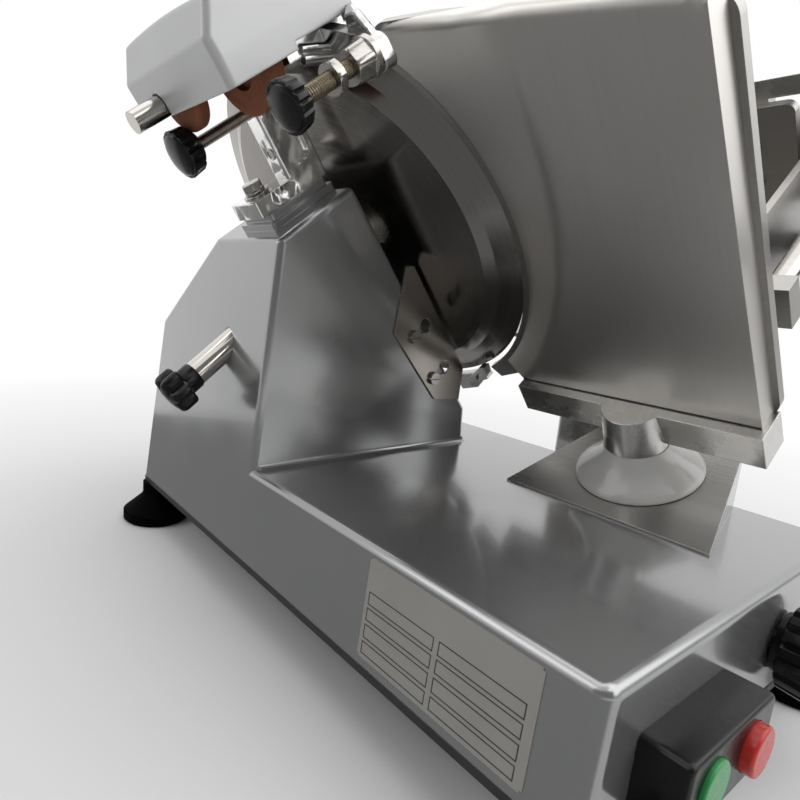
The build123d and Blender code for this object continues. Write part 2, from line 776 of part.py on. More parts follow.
with BuildPart() as tie_rod_sleeve:
    sleeve_bore = tie_rod_radius + free_gap
    turned(
        blade_plane,
        ((sleeve_bore, sleeve_end_n), (sleeve_outer_radius, sleeve_end_n),
         (sleeve_outer_radius, sleeve_step_n), (sleeve_radius, sleeve_step_n),
         (sleeve_radius, cover_seat_n), (sleeve_bore, cover_seat_n)),
    )
tie_rod_sleeve.part.label = "tie_rod_sleeve"
export_step(tie_rod_sleeve.part, "parts/tie_rod_sleeve.step")

with BuildPart() as tie_rod:
    bar(moved(blade_plane, z=tie_knob_n + 6), tie_rod_radius, cover_seat_n + 3.0 - tie_knob_n - 6)
tie_rod.part.label = "tie_rod"
export_step(tie_rod.part, "parts/tie_rod.step")

with BuildPart() as tie_rod_knob:
    knob_lobes = 6
    with BuildSketch(moved(blade_plane, z=tie_knob_n)) as star:
        Circle(11.0)
        with PolarLocations(11.0, knob_lobes):
            Circle(4.6)
    extrude(star.sketch, amount=tie_knob_length - 10)
    bar(moved(blade_plane, z=tie_knob_n + tie_knob_length - 10), 9.5, 10.0)
    bar(moved(blade_plane, z=tie_knob_n + 6), tie_rod_radius + slip_gap, tie_knob_length, mode=Mode.SUBTRACT)
tie_rod_knob.part.label = "tie_rod_knob"
export_step(tie_rod_knob.part, "parts/tie_rod_knob.step")

# Guard round the back of the blade, with its end lug and two pillars
with BuildPart() as blade_guard:
    reach = 3 * blade_radius
    ray_count = 4
    turn = (guard_end - guard_start) / ray_count
    rays = [guard_start + turn * step for step in range(ray_count + 1)]
    with BuildSketch(moved(blade_plane, z=guard_n)) as ring:
        Circle(guard_outer)
        Circle(guard_inner, mode=Mode.SUBTRACT)
        Polygon((0, 0), *[(reach * cos(radians(ray)), reach * sin(radians(ray))) for ray in rays], align=None,
                mode=Mode.INTERSECT)
    extrude(ring.sketch, amount=guard_thickness)
    with BuildSketch(moved(blade_plane, *lug_middle, lug_n)) as lug_face:
        Polygon(*lug_outline, align=None)
        Polygon(*lug_slot, align=None, mode=Mode.SUBTRACT)
    extrude(lug_face.sketch, amount=lug_thickness)
    for angle in guard_pillar_angles:
        pillar_r = (guard_inner + guard_outer) / 2
        pillar = moved(blade_plane, pillar_r * cos(radians(angle)), pillar_r * sin(radians(angle)), wall_n)
        bar(pillar, 5.0, guard_n - wall_n + 1)
blade_guard.part.label = "blade_guard"
export_step(blade_guard.part, "parts/blade_guard.step")

# Scraper plate with keyhole slots, and its two slotted screws
scraper_back = pedestal_front - 0.2
scraper_face = Plane(origin=at(blade_x, scraper_back, blade_z), x_dir=blade_plane.y_dir, z_dir=(0, -1, 0))
with BuildPart() as slice_deflector:
    with BuildSketch(scraper_face) as scraper_outline:
        Polygon(*[(u, -n) for u, n in scraper_corners], align=None)
        for u, n in scraper_screws:
            with Locations((u, -n - scraper_slot / 2)):
                slot_width = 2 * scraper_screw_radius + 0.8
                SlotCenterToCenter(scraper_slot, slot_width, rotation=90, mode=Mode.SUBTRACT)
            with Locations((u, -n - scraper_slot)):
                Circle(scraper_head_radius + 0.5, mode=Mode.SUBTRACT)
    extrude(scraper_outline.sketch, amount=scraper_thickness)
slice_deflector.part.label = "slice_deflector"
export_step(slice_deflector.part, "parts/slice_deflector.step")

with BuildPart() as deflector_screws:
    for u, n in scraper_screws:
        screw_x, screw_z = blade_xz(u, n)
        shank = moved(cross_section(pedestal_front + wall), screw_x, screw_z)
        bar(shank, scraper_screw_radius - slip_gap, wall + scraper_thickness + 0.5)
        head = moved(shank, z=wall + scraper_thickness + 0.5)
        bar(head, scraper_head_radius, 2.6)
        box(head, (-scraper_head_radius, scraper_head_radius), (-0.7, 0.7), (1.4, 3.0), mode=Mode.SUBTRACT)
deflector_screws.part.label = "deflector_screws"
export_step(deflector_screws.part, "parts/deflector_screws.step")

# Gauge plate: front plate, formed back cover, carrying bar with boss and post, skirt
gauge_seam_n = gauge_front_n - gauge_plate_thickness
with BuildPart() as gauge_plate:
    with BuildSketch(moved(blade_plane, z=gauge_seam_n)) as gauge_face:
        Polygon(*gauge_outline, align=None)
        fillet(gauge_face.vertices().sort_by(Axis.X)[:2], gauge_corner)
        fillet(gauge_face.vertices().sort_by(Axis.Y)[-1], gauge_corner)
        Circle(gauge_arc, mode=Mode.SUBTRACT)
    extrude(gauge_face.sketch, amount=gauge_plate_thickness)
gauge_plate.part.label = "gauge_plate"
export_step(gauge_plate.part, "parts/gauge_plate.step")


def flare(grow):
    """The conical hollow that the blade turns in; its last steps soften the ridge at the cover's back."""
    rings = []
    for spread, depth in flare_steps:
        ring_n = gauge_seam_n + depth * (gauge_back_n - gauge_seam_n)
        ring_plane = moved(blade_plane, spread * flare_centre[0], spread * flare_centre[1], ring_n)
        with BuildSketch(ring_plane) as ring:
            Circle(flare_start + spread * flare_spread + grow)
        rings.append(ring.sketch)
    with BuildPart() as cone:
        loft(rings, ruled=True)
    return cone.part


flare_hollow = flare(0.0)
flare_lining = flare(2 * gauge_cover_wall)
cover_outline = ((cover_left, gauge_foot_u), *cover_top, (-60, gauge_foot_u))
with BuildPart() as cover_room:
    with BuildSketch(moved(blade_plane, z=gauge_seam_n)) as room_face:
        Polygon(*cover_outline, align=None)
        offset(amount=-gauge_cover_wall, mode=Mode.REPLACE)
    extrude(room_face.sketch, amount=gauge_back_n + gauge_cover_wall - gauge_seam_n)
    add(flare_lining, mode=Mode.SUBTRACT)

with BuildPart() as gauge_cover:
    with BuildSketch(moved(blade_plane, z=gauge_seam_n)) as cover_face:
        Polygon(*cover_outline, align=None)
    extrude(cover_face.sketch, amount=gauge_back_n - gauge_seam_n)
    cover_back = moved(blade_plane, z=gauge_back_n)
    upper_edges = gauge_cover.edges().filter_by(
        lambda edge: abs(cover_back.to_local_coords(edge.center()).Z) < slip_gap
        and cover_back.to_local_coords(edge.center()).Y > cover_top[0][1]
    )
    fillet(upper_edges, cover_edge)
    add(flare_hollow, mode=Mode.SUBTRACT)
    add(cover_room.part, mode=Mode.SUBTRACT)
gauge_cover.part.label = "gauge_cover"
export_step(gauge_cover.part, "parts/gauge_cover.step")

with BuildPart() as gauge_arm:
    bar(moved(post_plane, z=skirt_height - 4), boss_radius, 70.0)
    boss_limit = 200.0
    box(blade_plane, (-400, 100), (gauge_foot_u, gauge_foot_u + boss_limit), (-boss_limit, boss_limit),
        mode=Mode.SUBTRACT)
    box(blade_plane, (-400, 100), (-400, 100), (gauge_seam_n, boss_limit), mode=Mode.SUBTRACT)
    bar_u = (gauge_foot_u - bar_height, gauge_foot_u)
    box(blade_plane, (gauge_left, bar_start), bar_u, (bar_back_n, gauge_seam_n))
    bar(moved(post_plane, z=-block_depth - 10), post_radius, block_depth + skirt_height + 10)
gauge_arm.part.label = "gauge_arm"
export_step(gauge_arm.part, "parts/gauge_arm.step")

with BuildPart() as post_skirt:
    foot = moved(post_plane, z=0.5)
    turned(
        foot,
        ((skirt_radius - 3, 0), (skirt_radius, 0), (skirt_radius, 1.2),
         (boss_radius + 6, skirt_height * 0.62), (boss_radius + 1.5, skirt_height - 1),
         (boss_radius + 0.1, skirt_height),
         (boss_radius + 0.1, skirt_height - 4.2), (boss_radius + 2, skirt_height * 0.5)),
    )
post_skirt.part.label = "post_skirt"
export_step(post_skirt.part, "parts/post_skirt.step")

with BuildPart() as ramp_sheet_cover:
    narrowing = (ramp_rear_y[0] - ramp_rear_y[1]) / ramp_length
    with BuildSketch(moved(ramp_plane, z=-ramp_sheet)) as sheet:
        Polygon(
            (2.7, ramp_front_y[0]), (ramp_length, ramp_front_y[1]), (ramp_length, ramp_rear_y[1]),
            (2.7, ramp_rear_y[0]), align=None
        )
        with Locations((post_along - gauge_travel / 2, post_y)):
            SlotCenterToCenter(gauge_travel, 2 * post_radius + 2.4, mode=Mode.SUBTRACT)
    extrude(sheet.sketch, amount=ramp_sheet)
ramp_sheet_cover.part.label = "ramp_sheet_cover"
export_step(ramp_sheet_cover.part, "parts/ramp_sheet_cover.step")

# Slide under the ramp, its guide rods, and the index knob with its spiral cam
with BuildPart() as gauge_slide_block:
    box(block_plane, (-15, 15), (-28, 28), (-10, 10))
    box(block_plane, (follower_spot[0] - 5, -10), (-6, 6), (follower_spot[1] - 4, 2))
    for side in (-1, 1):
        bar(moved(guide_plane, side * guide_rod_spread, 0, -20), guide_rod_radius + running_gap, 40.0,
            mode=Mode.SUBTRACT)
    bar(moved(block_plane, z=-10), post_radius + slip_gap, 20.0, mode=Mode.SUBTRACT)
    pin_foot = moved(block_plane, follower_spot[0], 0, follower_spot[1])
    pin_plane = Plane(origin=pin_foot.origin, x_dir=(1, 0, 0), z_dir=(0, -1, 0))
    bar(pin_plane, follower_radius, post_y - cam_y - cam_thickness + cam_groove_depth - 1)
gauge_slide_block.part.label = "gauge_slide_block"
export_step(gauge_slide_block.part, "parts/gauge_slide_block.step")

with BuildPart() as gauge_guide_rods:
    for side in (-1, 1):
        bar(moved(guide_plane, side * guide_rod_spread, 0, -40), guide_rod_radius - slip_gap, 73.0)
gauge_guide_rods.part.label = "gauge_guide_rods"
export_step(gauge_guide_rods.part, "parts/gauge_guide_rods.step")

index_front = moved(cross_section(0), index_x, index_z)
with BuildPart() as index_knob:
    fluted_knob(moved(index_front, z=1.0), 24.0, 24.0, 4.0, index_shaft_radius + slip_gap, 12.0)
index_knob.part.label = "index_knob"
export_step(index_knob.part, "parts/index_knob.step")

# Shaft with a cam disc: the groove winds in as the knob turns, and draws the follower down
cam_plane = Plane(origin=at(index_x, cam_y, index_z), x_dir=(1, 0, 0), z_dir=(0, 1, 0))


def groove_point(turn):
    """A point of the cam's groove that meets the follower after the given turn."""
    angle = radians(-ramp_tilt - turn)
    distance = cam_closed - gauge_travel * turn / index_turn
    return distance * cos(angle), distance * sin(angle)


with BuildPart() as index_shaft:
    bar(moved(index_front, z=-cam_y - 1), index_shaft_radius, cam_y + 12)
    bar(cam_plane, cam_radius, cam_thickness)
    groove_steps = 13
    groove_start = -15.0
    groove_reach = index_turn + 50.0
    with BuildSketch(moved(cam_plane, z=cam_thickness - cam_groove_depth)) as groove:
        with BuildLine():
            steps = range(groove_steps + 1)
            groove_turns = [groove_start + groove_reach * step / groove_steps for step in steps]
            Spline(*[groove_point(turn) for turn in groove_turns])
        trace(line_width=2 * (follower_radius + cam_gap))
    extrude(groove.sketch, amount=cam_groove_depth, mode=Mode.SUBTRACT)
index_shaft.part.label = "index_shaft"
export_step(index_shaft.part, "parts/index_shaft.step")

# Carriage rail, slider, arm and guide roller
with BuildPart() as carriage_rail:
    bar(rail_room, rail_radius - slip_gap, base_length - 2 * rail_margin)
carriage_rail.part.label = "carriage_rail"
export_step(carriage_rail.part, "parts/carriage_rail.step")

slider_y = (carriage_y - slider_length / 2, carriage_y + slider_length / 2)
slider_z = (rail_z - 18, rail_z + 14)
roller_z = -base_height + free_gap + roller_radius
bush_radius = rail_radius + 2.0
with BuildPart() as carriage_slider:
    box(deck_plane, (rail_x - 16, rail_x + 16), slider_y, slider_z)
    fillet(carriage_slider.edges().filter_by(Axis.Y), 3.0)
    slider_bore = moved(cross_section(slider_y[1]), rail_x, rail_z)
    bar(slider_bore, bush_radius + slip_gap, slider_length, mode=Mode.SUBTRACT)
    axle_plane = Plane(origin=at(rail_x - 15, carriage_y, roller_z), x_dir=(0, 1, 0), z_dir=(-1, 0, 0))
    bar(axle_plane, 3.0, 18.0)
carriage_slider.part.label = "carriage_slider"
export_step(carriage_slider.part, "parts/carriage_slider.step")

with BuildPart() as slider_bushes:
    for start in (0.0, slider_length - 22.0):
        tube(moved(slider_bore, z=start), bush_radius, rail_radius + running_gap, 22.0)
slider_bushes.part.label = "slider_bushes"
export_step(slider_bushes.part, "parts/slider_bushes.step")

with BuildPart() as guide_roller:
    tube(moved(axle_plane, z=4.0), roller_radius, 3.0 + running_gap, 11.0)
guide_roller.part.label = "guide_roller"
export_step(guide_roller.part, "parts/guide_roller.step")


def tray_under(x):
    """Height of the tray's underside above a place on the machine."""
    start = blade_xz(tray_u, 0)
    return start[1] + (x - start[0]) * tan(radians(blade_tilt))


with BuildPart() as carriage_arm:
    with BuildSketch(cross_section(carriage_y + leg_width / 2)) as arm_profile:
        Polygon(
            (rail_x + 16, arm_z[0]), (leg_x[1], arm_z[0]), (leg_x[1], tray_under(leg_x[1])),
            (leg_x[0], tray_under(leg_x[0])), (leg_x[0], arm_z[1]), (rail_x + 16, arm_z[1]), align=None
        )
    extrude(arm_profile.sketch, amount=leg_width)
    fillet(carriage_arm.edges().filter_by(Axis.Z), 5.0)
    box(blade_plane, (-190, -80), (tray_u - 7, tray_u), (112, 172))
    tray_lock_z = tray_under(leg_x[1]) - tray_lock_drop
    lock_plane = Plane(origin=at(leg_x[1], carriage_y, tray_lock_z), x_dir=(0, 1, 0), z_dir=(1, 0, 0))
    bar(moved(lock_plane, z=-16), 4.0 + running_gap, 20.0, mode=Mode.SUBTRACT)
carriage_arm.part.label = "carriage_arm"
export_step(carriage_arm.part, "parts/carriage_arm.step")

with BuildPart() as tray_lock_knob:
    bar(moved(lock_plane, z=-15), 4.0, 17.0)
    with BuildSketch(moved(lock_plane, z=1.0)) as lock_star:
        Circle(14.0)
        with PolarLocations(14.0, 6):
            Circle(6.0)
    extrude(lock_star.sketch, amount=16.0)
tray_lock_knob.part.label = "tray_lock_knob"
export_step(tray_lock_knob.part, "parts/tray_lock_knob.step")

with BuildPart() as food_tray:
    box(blade_plane, tray_y, (tray_u, tray_u + tray_thickness), tray_n)
    box(blade_plane, (tray_y[0], tray_y[0] + tray_thickness), (tray_u, tray_wall_u), tray_n)
    box(blade_plane, tray_y, (tray_u, tray_end_u), (tray_n[1] - tray_thickness, tray_n[1]))
    lug_half = 2 * pusher_rod_radius
    lug_u = (pusher_rod_spot[1] - lug_half, pusher_rod_spot[1] + lug_half)
    for n in (pusher_rod_n[0], pusher_rod_n[1] - lug_half):
        box(blade_plane, (pusher_rod_spot[0] - lug_half, tray_y[0]), lug_u, (n, n + lug_half))
    rod_plane = moved(blade_plane, pusher_rod_spot[0], pusher_rod_spot[1], pusher_rod_n[0])
    bar(rod_plane, pusher_rod_radius, pusher_rod_n[1] - pusher_rod_n[0], mode=Mode.SUBTRACT)
food_tray.part.label = "food_tray"
export_step(food_tray.part, "parts/food_tray.step")

with BuildPart() as pusher_rod:
    bar(rod_plane, pusher_rod_radius - slip_gap, pusher_rod_n[1] - pusher_rod_n[0])
pusher_rod.part.label = "pusher_rod"
export_step(pusher_rod.part, "parts/pusher_rod.step")

handle_foot = blade_plane.from_local_coords(Vector(tray_y[0], tray_u + handle_stem_radius, handle_n))
handle_plane = Plane(origin=handle_foot, x_dir=(1, 0, 0), z_dir=(0, -1, 0))
with BuildPart() as carriage_handle:
    bar(handle_plane, handle_stem_radius, handle_stem)
    bar(moved(handle_plane, z=handle_stem), handle_radius, handle_length)
    fillet(carriage_handle.edges().group_by(Axis.Y)[0], handle_stem_radius - 1)
carriage_handle.part.label = "carriage_handle"
export_step(carriage_handle.part, "parts/carriage_handle.step")

pusher_plane = moved(blade_plane, pusher_rod_spot[0], pusher_rod_spot[1], pusher_n)
hub_half = 10.0
pusher_across = (32.0, tray_y[1] - 30 - pusher_rod_spot[0])
pusher_up = (tray_u + 2 * tray_thickness - pusher_rod_spot[1], 42.0)
pusher_middle = ((pusher_across[0] + pusher_across[1]) / 2, (pusher_up[0] + pusher_up[1]) / 2)
with BuildPart() as pusher_collar:
    for start in (-hub_half - free_gap - 10, hub_half + free_gap):
        tube(moved(pusher_plane, z=start), 11.0, pusher_rod_radius + running_gap, 10.0)
    box(pusher_plane, (-8, 8), (-17, -11.5), (-hub_half - free_gap - 10, hub_half + free_gap + 10))
    for start in (-hub_half - free_gap - 10, hub_half + free_gap):
        box(pusher_plane, (-6, 6), (-13, -9), (start, start + 10))
pusher_collar.part.label = "pusher_collar"
export_step(pusher_collar.part, "parts/pusher_collar.step")

with BuildPart() as pusher_arm:
    bar(moved(pusher_plane, z=-hub_half), 10.5, 2 * hub_half)
    with BuildSketch(moved(pusher_plane, z=-5)) as arm_face:
        Polygon((-6, 0), (-6, 56), (60, 56), (60, 30), (48, 30), (48, 44), (6, 44), (6, 0), align=None)
    extrude(arm_face.sketch, amount=10.0)
    hub_bore = pusher_rod_radius + running_gap
    bar(moved(pusher_plane, z=-hub_half - 1), hub_bore, 2 * hub_half + 2, mode=Mode.SUBTRACT)
pusher_arm.part.label = "pusher_arm"
export_step(pusher_arm.part, "parts/pusher_arm.step")

with BuildPart() as pusher_plate:
    box(pusher_plane, pusher_across, pusher_up, (-11, -5), corner=pusher_rod_radius)
    with BuildSketch(moved(pusher_plane, z=-11)) as spikes:
        with Locations(pusher_middle):
            with GridLocations(40, 26, 5, 2):
                Circle(2.6)
    extrude(spikes.sketch, amount=-9.0, taper=14)
pusher_plate.part.label = "pusher_plate"
export_step(pusher_plate.part, "parts/pusher_plate.step")

with BuildPart() as pusher_grip:
    grip = moved(pusher_plane, pusher_middle[0] + 6, pusher_middle[1] + 6, -5)
    bar(grip, 8.0, 14.0)
    bar(moved(grip, z=14), 15.0, 34.0)
    fillet(pusher_grip.edges().sort_by(Axis(grip.origin, blade_axis))[-1], 6.0)
pusher_grip.part.label = "pusher_grip"
export_step(pusher_grip.part, "parts/pusher_grip.step")

# Sharpener bracket with its bolt and washers
foot_top = bracket_b + bracket_foot
post_foot = moved(facet_plane, post_a, post_d, bracket_b + 2)
with BuildPart() as sharpener_bracket:
    box(facet_plane, bracket_a, bracket_d, (bracket_b, foot_top), corner=pad_corner)
    box(facet_plane, (upright_a, bracket_a[1]), upright_d, (bracket_b, upright_b), corner=pad_corner)
    recess_spot = Vector((upright_a + bracket_a[1]) / 2, upright_d[0], (bracket_b + upright_b) / 2)
    recess_middle = facet_plane.from_local_coords(recess_spot)
    recess_face = Plane(origin=recess_middle, x_dir=facet_across, z_dir=(0, -1, 0))
    with BuildSketch(recess_face) as recess:
        RectangleRounded(*recess_size, recess_corner)
    extrude(recess.sketch, amount=-recess_depth, mode=Mode.SUBTRACT)
    bar(post_foot, lift_post_radius + running_gap, upright_b, mode=Mode.SUBTRACT)
    lock_way = end_plane(upright_a - 1, lock_d, lock_b)
    bar(lock_way, lock_radius + running_gap, post_a - upright_a, mode=Mode.SUBTRACT)
    bolt_way = moved(facet_plane, *bolt_spot, bracket_b - 1)
    bar(bolt_way, bolt_radius + slip_gap, 2 * bracket_foot, mode=Mode.SUBTRACT)
sharpener_bracket.part.label = "sharpener_bracket"
export_step(sharpener_bracket.part, "parts/sharpener_bracket.step")

with BuildPart() as bracket_washers:
    flat_washer = moved(facet_plane, *bolt_spot, foot_top)
    tube(flat_washer, 2 * bolt_radius + 1, bolt_radius + free_gap, washer_thickness[0])
    spring_washer = moved(flat_washer, z=washer_thickness[0])
    tube(spring_washer, 2 * bolt_radius - 0.8, bolt_radius + free_gap, washer_thickness[1])
bracket_washers.part.label = "bracket_washers"
export_step(bracket_washers.part, "parts/bracket_washers.step")

with BuildPart() as bracket_bolt:
    head_b = foot_top + sum(washer_thickness)
    bolt_depth = 1.5 * wall
    hexagon(moved(facet_plane, *bolt_spot, head_b), bolt_flats, 0, bolt_head)
    bar(moved(facet_plane, *bolt_spot, -bolt_depth), bolt_radius - slip_gap, head_b + bolt_depth)
bracket_bolt.part.label = "bracket_bolt"
export_step(bracket_bolt.part, "parts/bracket_bolt.step")

# Sharpener head: body with its lift post, hood, stones, push pin and the two hand screws
with BuildPart() as sharpener_body:
    box(facet_plane, body_a, body_d, body_b)
    bar(moved(post_foot, z=2), lift_post_radius, upright_b)
    with BuildSketch(end_plane(ear_a[0], 0, 0)) as ear:
        for spot, radius in ear_rounds:
            with Locations(spot):
                Circle(radius)
        make_hull()
    extrude(ear.sketch, amount=ear_a[1] - ear_a[0])
    for start, end in ear_rods:
        rod_foot = facet_plane.from_local_coords(Vector(start[0], body_d[0], start[1]))
        rod_run = facet_plane.from_local_coords(Vector(end[0], body_d[0], end[1])) - rod_foot
        bar(Plane(origin=rod_foot, x_dir=(0, 1, 0), z_dir=rod_run), ear_rod_radius, rod_run.length)
    screw_way = end_plane(ear_a[0] - 1, adjust_d, adjust_b)
    bar(screw_way, adjust_radius + running_gap, 3 * adjust_radius, mode=Mode.SUBTRACT)
    pin_way = end_plane(body_a[0] - 1, pin_d, pin_b)
    bar(pin_way, pin_shaft_radius + running_gap, pin_depth, mode=Mode.SUBTRACT)
    bar(end_plane(stone_axle_a[0], *grind_stone_spot), stone_axle_radius, stone_axle_a[1] - stone_axle_a[0])
sharpener_body.part.label = "sharpener_body"
export_step(sharpener_body.part, "parts/sharpener_body.step")


def hood_form(inset):
    """The hood's faceted form, drawn in from its outer faces; the bottom stays where it is."""
    low = hood_b - inset
    with BuildPart() as form:
        rear = facet_plane.from_local_coords(Vector(0, hood_d[1], 0))
        with BuildSketch(Plane(origin=rear, x_dir=facet_across, z_dir=(0, -1, 0))) as end_outline:
            rise = 2 * (hood_crown[1] - hood_end_crease)
            top = hood_end_crease + rise
            top_a = hood_a[0] + rise * tan(radians(hood_end_lean))
            Polygon(
                (hood_a[0], low), (hood_a[1], low), (hood_a[1], top), (top_a, top),
                (hood_a[0], hood_end_crease), align=None
            )
            if inset:
                offset(amount=-inset, kind=Kind.INTERSECTION, mode=Mode.REPLACE)
        extrude(end_outline.sketch, amount=hood_d[1] - hood_d[0])
        with BuildSketch(end_plane(hood_a[0], 0, 0)) as side_outline:
            with BuildLine():
                crease = (hood_d[0], hood_front_crease)
                rear_top = (hood_d[1], hood_rear_top)
                Polyline(hood_front_top, crease, (hood_d[0], low), (hood_d[1], low), rear_top)
                ThreePointArc(rear_top, hood_crown, hood_front_top)
            make_face()
            if inset:
                offset(amount=-inset, kind=Kind.INTERSECTION, mode=Mode.REPLACE)
        extrude(side_outline.sketch, amount=hood_a[1] - hood_a[0], mode=Mode.INTERSECT)
    return form.part


hood_room = hood_form(hood_wall)
with BuildPart() as sharpener_hood:
    add(hood_form(0.0))
    hood_low = moved(facet_plane, z=hood_b)
    hood_edges = sharpener_hood.edges().filter_by(lambda edge: hood_low.to_local_coords(edge.center()).Z > 1)
    fillet(hood_edges, hood_edge)
    add(hood_room, mode=Mode.SUBTRACT)
    hood_side = end_plane(hood_a[0] - 1, 0, 0)
    hood_span = hood_a[1] - hood_a[0] + 2
    with BuildSketch(hood_side) as rear_bevel:
        bevel_end = hood_d[1] + 1
        Polygon(
            (bevel_end, hood_b + hood_bevel_rise), (hood_bevel_d, hood_b),
            (hood_bevel_d, hood_b - 1), (bevel_end, hood_b - 1), align=None
        )
    extrude(rear_bevel.sketch, amount=hood_span, mode=Mode.SUBTRACT)
    with BuildSketch(moved(hood_side, pin_d, pin_b)) as pin_notch:
        Circle(pin_radius + 1)
        with Locations((0, -pin_radius)):
            Rectangle(2 * pin_radius + 2, 2 * pin_radius)
    extrude(pin_notch.sketch, amount=hood_span / 3, mode=Mode.SUBTRACT)
    notch_d = (hood_d[0] - 1, hood_d[0] + hood_wall + 3)
    notch_b = (hood_b - 1, hood_b + hood_notch_rise)
    box(facet_plane, (hood_notch_a, hood_a[1] + 1), notch_d, notch_b, mode=Mode.SUBTRACT)
sharpener_hood.part.label = "sharpener_hood"
export_step(sharpener_hood.part, "parts/sharpener_hood.step")

with BuildPart() as push_pin:
    bar(end_plane(pin_a[0], pin_d, pin_b), pin_radius, pin_a[1] - pin_a[0])
    bar(end_plane(pin_a[1] - 1, pin_d, pin_b), pin_shaft_radius, pin_shaft_end - pin_a[1] + 1)
push_pin.part.label = "push_pin"
export_step(push_pin.part, "parts/push_pin.step")

with BuildPart() as fine_stone:
    stone_bore = pin_shaft_radius + running_gap
    fine_width = fine_stone_a[1] - fine_stone_a[0]
    tube(end_plane(fine_stone_a[0], pin_d, pin_b), fine_stone_radius, stone_bore, fine_width)
    rim_edges = fine_stone.edges().filter_by(GeomType.CIRCLE)
    fillet(rim_edges.filter_by(lambda edge: edge.radius > 2 * stone_bore), fine_stone_edge)
fine_stone.part.label = "fine_stone"
export_step(fine_stone.part, "parts/fine_stone.step")

with BuildPart() as grinding_stone:
    stone_end = end_plane(grind_stone_a[0], *grind_stone_spot)
    stone_width = grind_stone_a[1] - grind_stone_a[0]
    tube(stone_end, grind_stone_radius, stone_axle_radius + running_gap, stone_width)
    bar(stone_end, grind_dish_radius, grind_dish_depth, mode=Mode.SUBTRACT)
grinding_stone.part.label = "grinding_stone"
export_step(grinding_stone.part, "parts/grinding_stone.step")

with BuildPart() as stone_nut:
    nut_face = moved(stone_end, z=grind_dish_depth - free_gap - stone_nut_thickness)
    hexagon(nut_face, bolt_flats, stone_axle_radius + slip_gap, stone_nut_thickness)
stone_nut.part.label = "stone_nut"
export_step(stone_nut.part, "parts/stone_nut.step")

with BuildPart() as adjust_screw:
    bar(end_plane(adjust_a[0], adjust_d, adjust_b), adjust_radius, adjust_a[1] - adjust_a[0])
adjust_screw.part.label = "adjust_screw"
export_step(adjust_screw.part, "parts/adjust_screw.step")

with BuildPart() as adjust_nuts:
    thin_nut = end_plane(thin_nut_a[0], adjust_d, adjust_b)
    hexagon(thin_nut, thin_nut_flats, 0, thin_nut_a[1] - thin_nut_a[0])
    with BuildSketch(end_plane(ear_a[0] - free_gap, adjust_d, adjust_b)) as long_nut:
        RegularPolygon(long_nut_flats / 2, 6, major_radius=False)
        fillet(long_nut.vertices(), long_nut_corner)
    extrude(long_nut.sketch, amount=-long_nut_length, taper=long_nut_taper)
    bar(thin_nut, adjust_radius + slip_gap, ear_a[0] - thin_nut_a[0], mode=Mode.SUBTRACT)
adjust_nuts.part.label = "adjust_nuts"
export_step(adjust_nuts.part, "parts/adjust_nuts.step")

with BuildPart() as adjust_knob:
    knob_back = end_plane(adjust_a[0] + 6, adjust_d, adjust_b)
    fluted_knob(Plane(origin=knob_back.origin, x_dir=(0, 1, 0), z_dir=-facet_across), 13.5, 13.0, 2.5,
                adjust_radius + slip_gap, 6.0)
adjust_knob.part.label = "adjust_knob"
export_step(adjust_knob.part, "parts/adjust_knob.step")

with BuildPart() as lock_screw:
    bar(end_plane(lock_a[0], lock_d, lock_b), lock_radius, lock_a[1] - lock_a[0])
lock_screw.part.label = "lock_screw"
export_step(lock_screw.part, "parts/lock_screw.step")

with BuildPart() as lock_knob:
    knob_back = end_plane(lock_a[0] + 6, lock_d, lock_b)
    fluted_knob(Plane(origin=knob_back.origin, x_dir=(0, 1, 0), z_dir=-facet_across), 15.0, 16.0, 3.0,
                lock_radius + slip_gap, 6.0)
lock_knob.part.label = "lock_knob"
export_step(lock_knob.part, "parts/lock_knob.step")
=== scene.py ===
import json
from math import atan2, cos, hypot, pi, radians, sin, sqrt, tan

import bmesh
import bpy
from mathutils import Matrix, Vector


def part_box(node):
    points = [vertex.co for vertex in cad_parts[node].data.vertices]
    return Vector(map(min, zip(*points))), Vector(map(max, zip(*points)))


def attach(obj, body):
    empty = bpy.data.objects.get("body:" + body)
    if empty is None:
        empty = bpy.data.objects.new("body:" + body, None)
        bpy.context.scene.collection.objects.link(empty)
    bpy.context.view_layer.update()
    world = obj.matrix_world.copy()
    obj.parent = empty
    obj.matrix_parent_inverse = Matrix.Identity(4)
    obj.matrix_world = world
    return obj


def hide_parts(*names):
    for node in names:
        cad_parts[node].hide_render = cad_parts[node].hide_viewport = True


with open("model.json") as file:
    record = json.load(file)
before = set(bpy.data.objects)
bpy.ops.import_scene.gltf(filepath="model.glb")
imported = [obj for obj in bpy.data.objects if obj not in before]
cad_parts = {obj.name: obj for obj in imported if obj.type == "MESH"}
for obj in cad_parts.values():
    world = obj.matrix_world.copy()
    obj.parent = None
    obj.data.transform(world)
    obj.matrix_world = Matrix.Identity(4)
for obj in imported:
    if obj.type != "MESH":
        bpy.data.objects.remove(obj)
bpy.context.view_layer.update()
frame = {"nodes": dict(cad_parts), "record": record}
nodes = frame["nodes"]
scene = bpy.context.scene
scene.view_settings.view_transform = "Standard"

# Lengths are in millimetres, apart from those of the materials and the stage, which are in metres.
# A profile's row is a height and a radius.

# The machine's own axes: x from the slice side to the carriage side, y from the operator's end to
# the back, z up from the deck
MIDDLE_X = 142.2
MIDDLE_Y = 207.5
DECK_HEIGHT = 102.0
DRAFT = radians(4.6)

# The blade, and the sloping top of the pedestal that carries the sharpener. That facet starts at the
# pedestal's front, and its place up the blade's plane and along the blade's axis is given too.
BLADE_CENTRE = (119.0, 313.0, 171.0)
BLADE_TILT = radians(40.0)
FACET_TILT = radians(37.0)
PEDESTAL_FRONT = 256.3
FACET_U = 49.5
WALL_N = -26.5

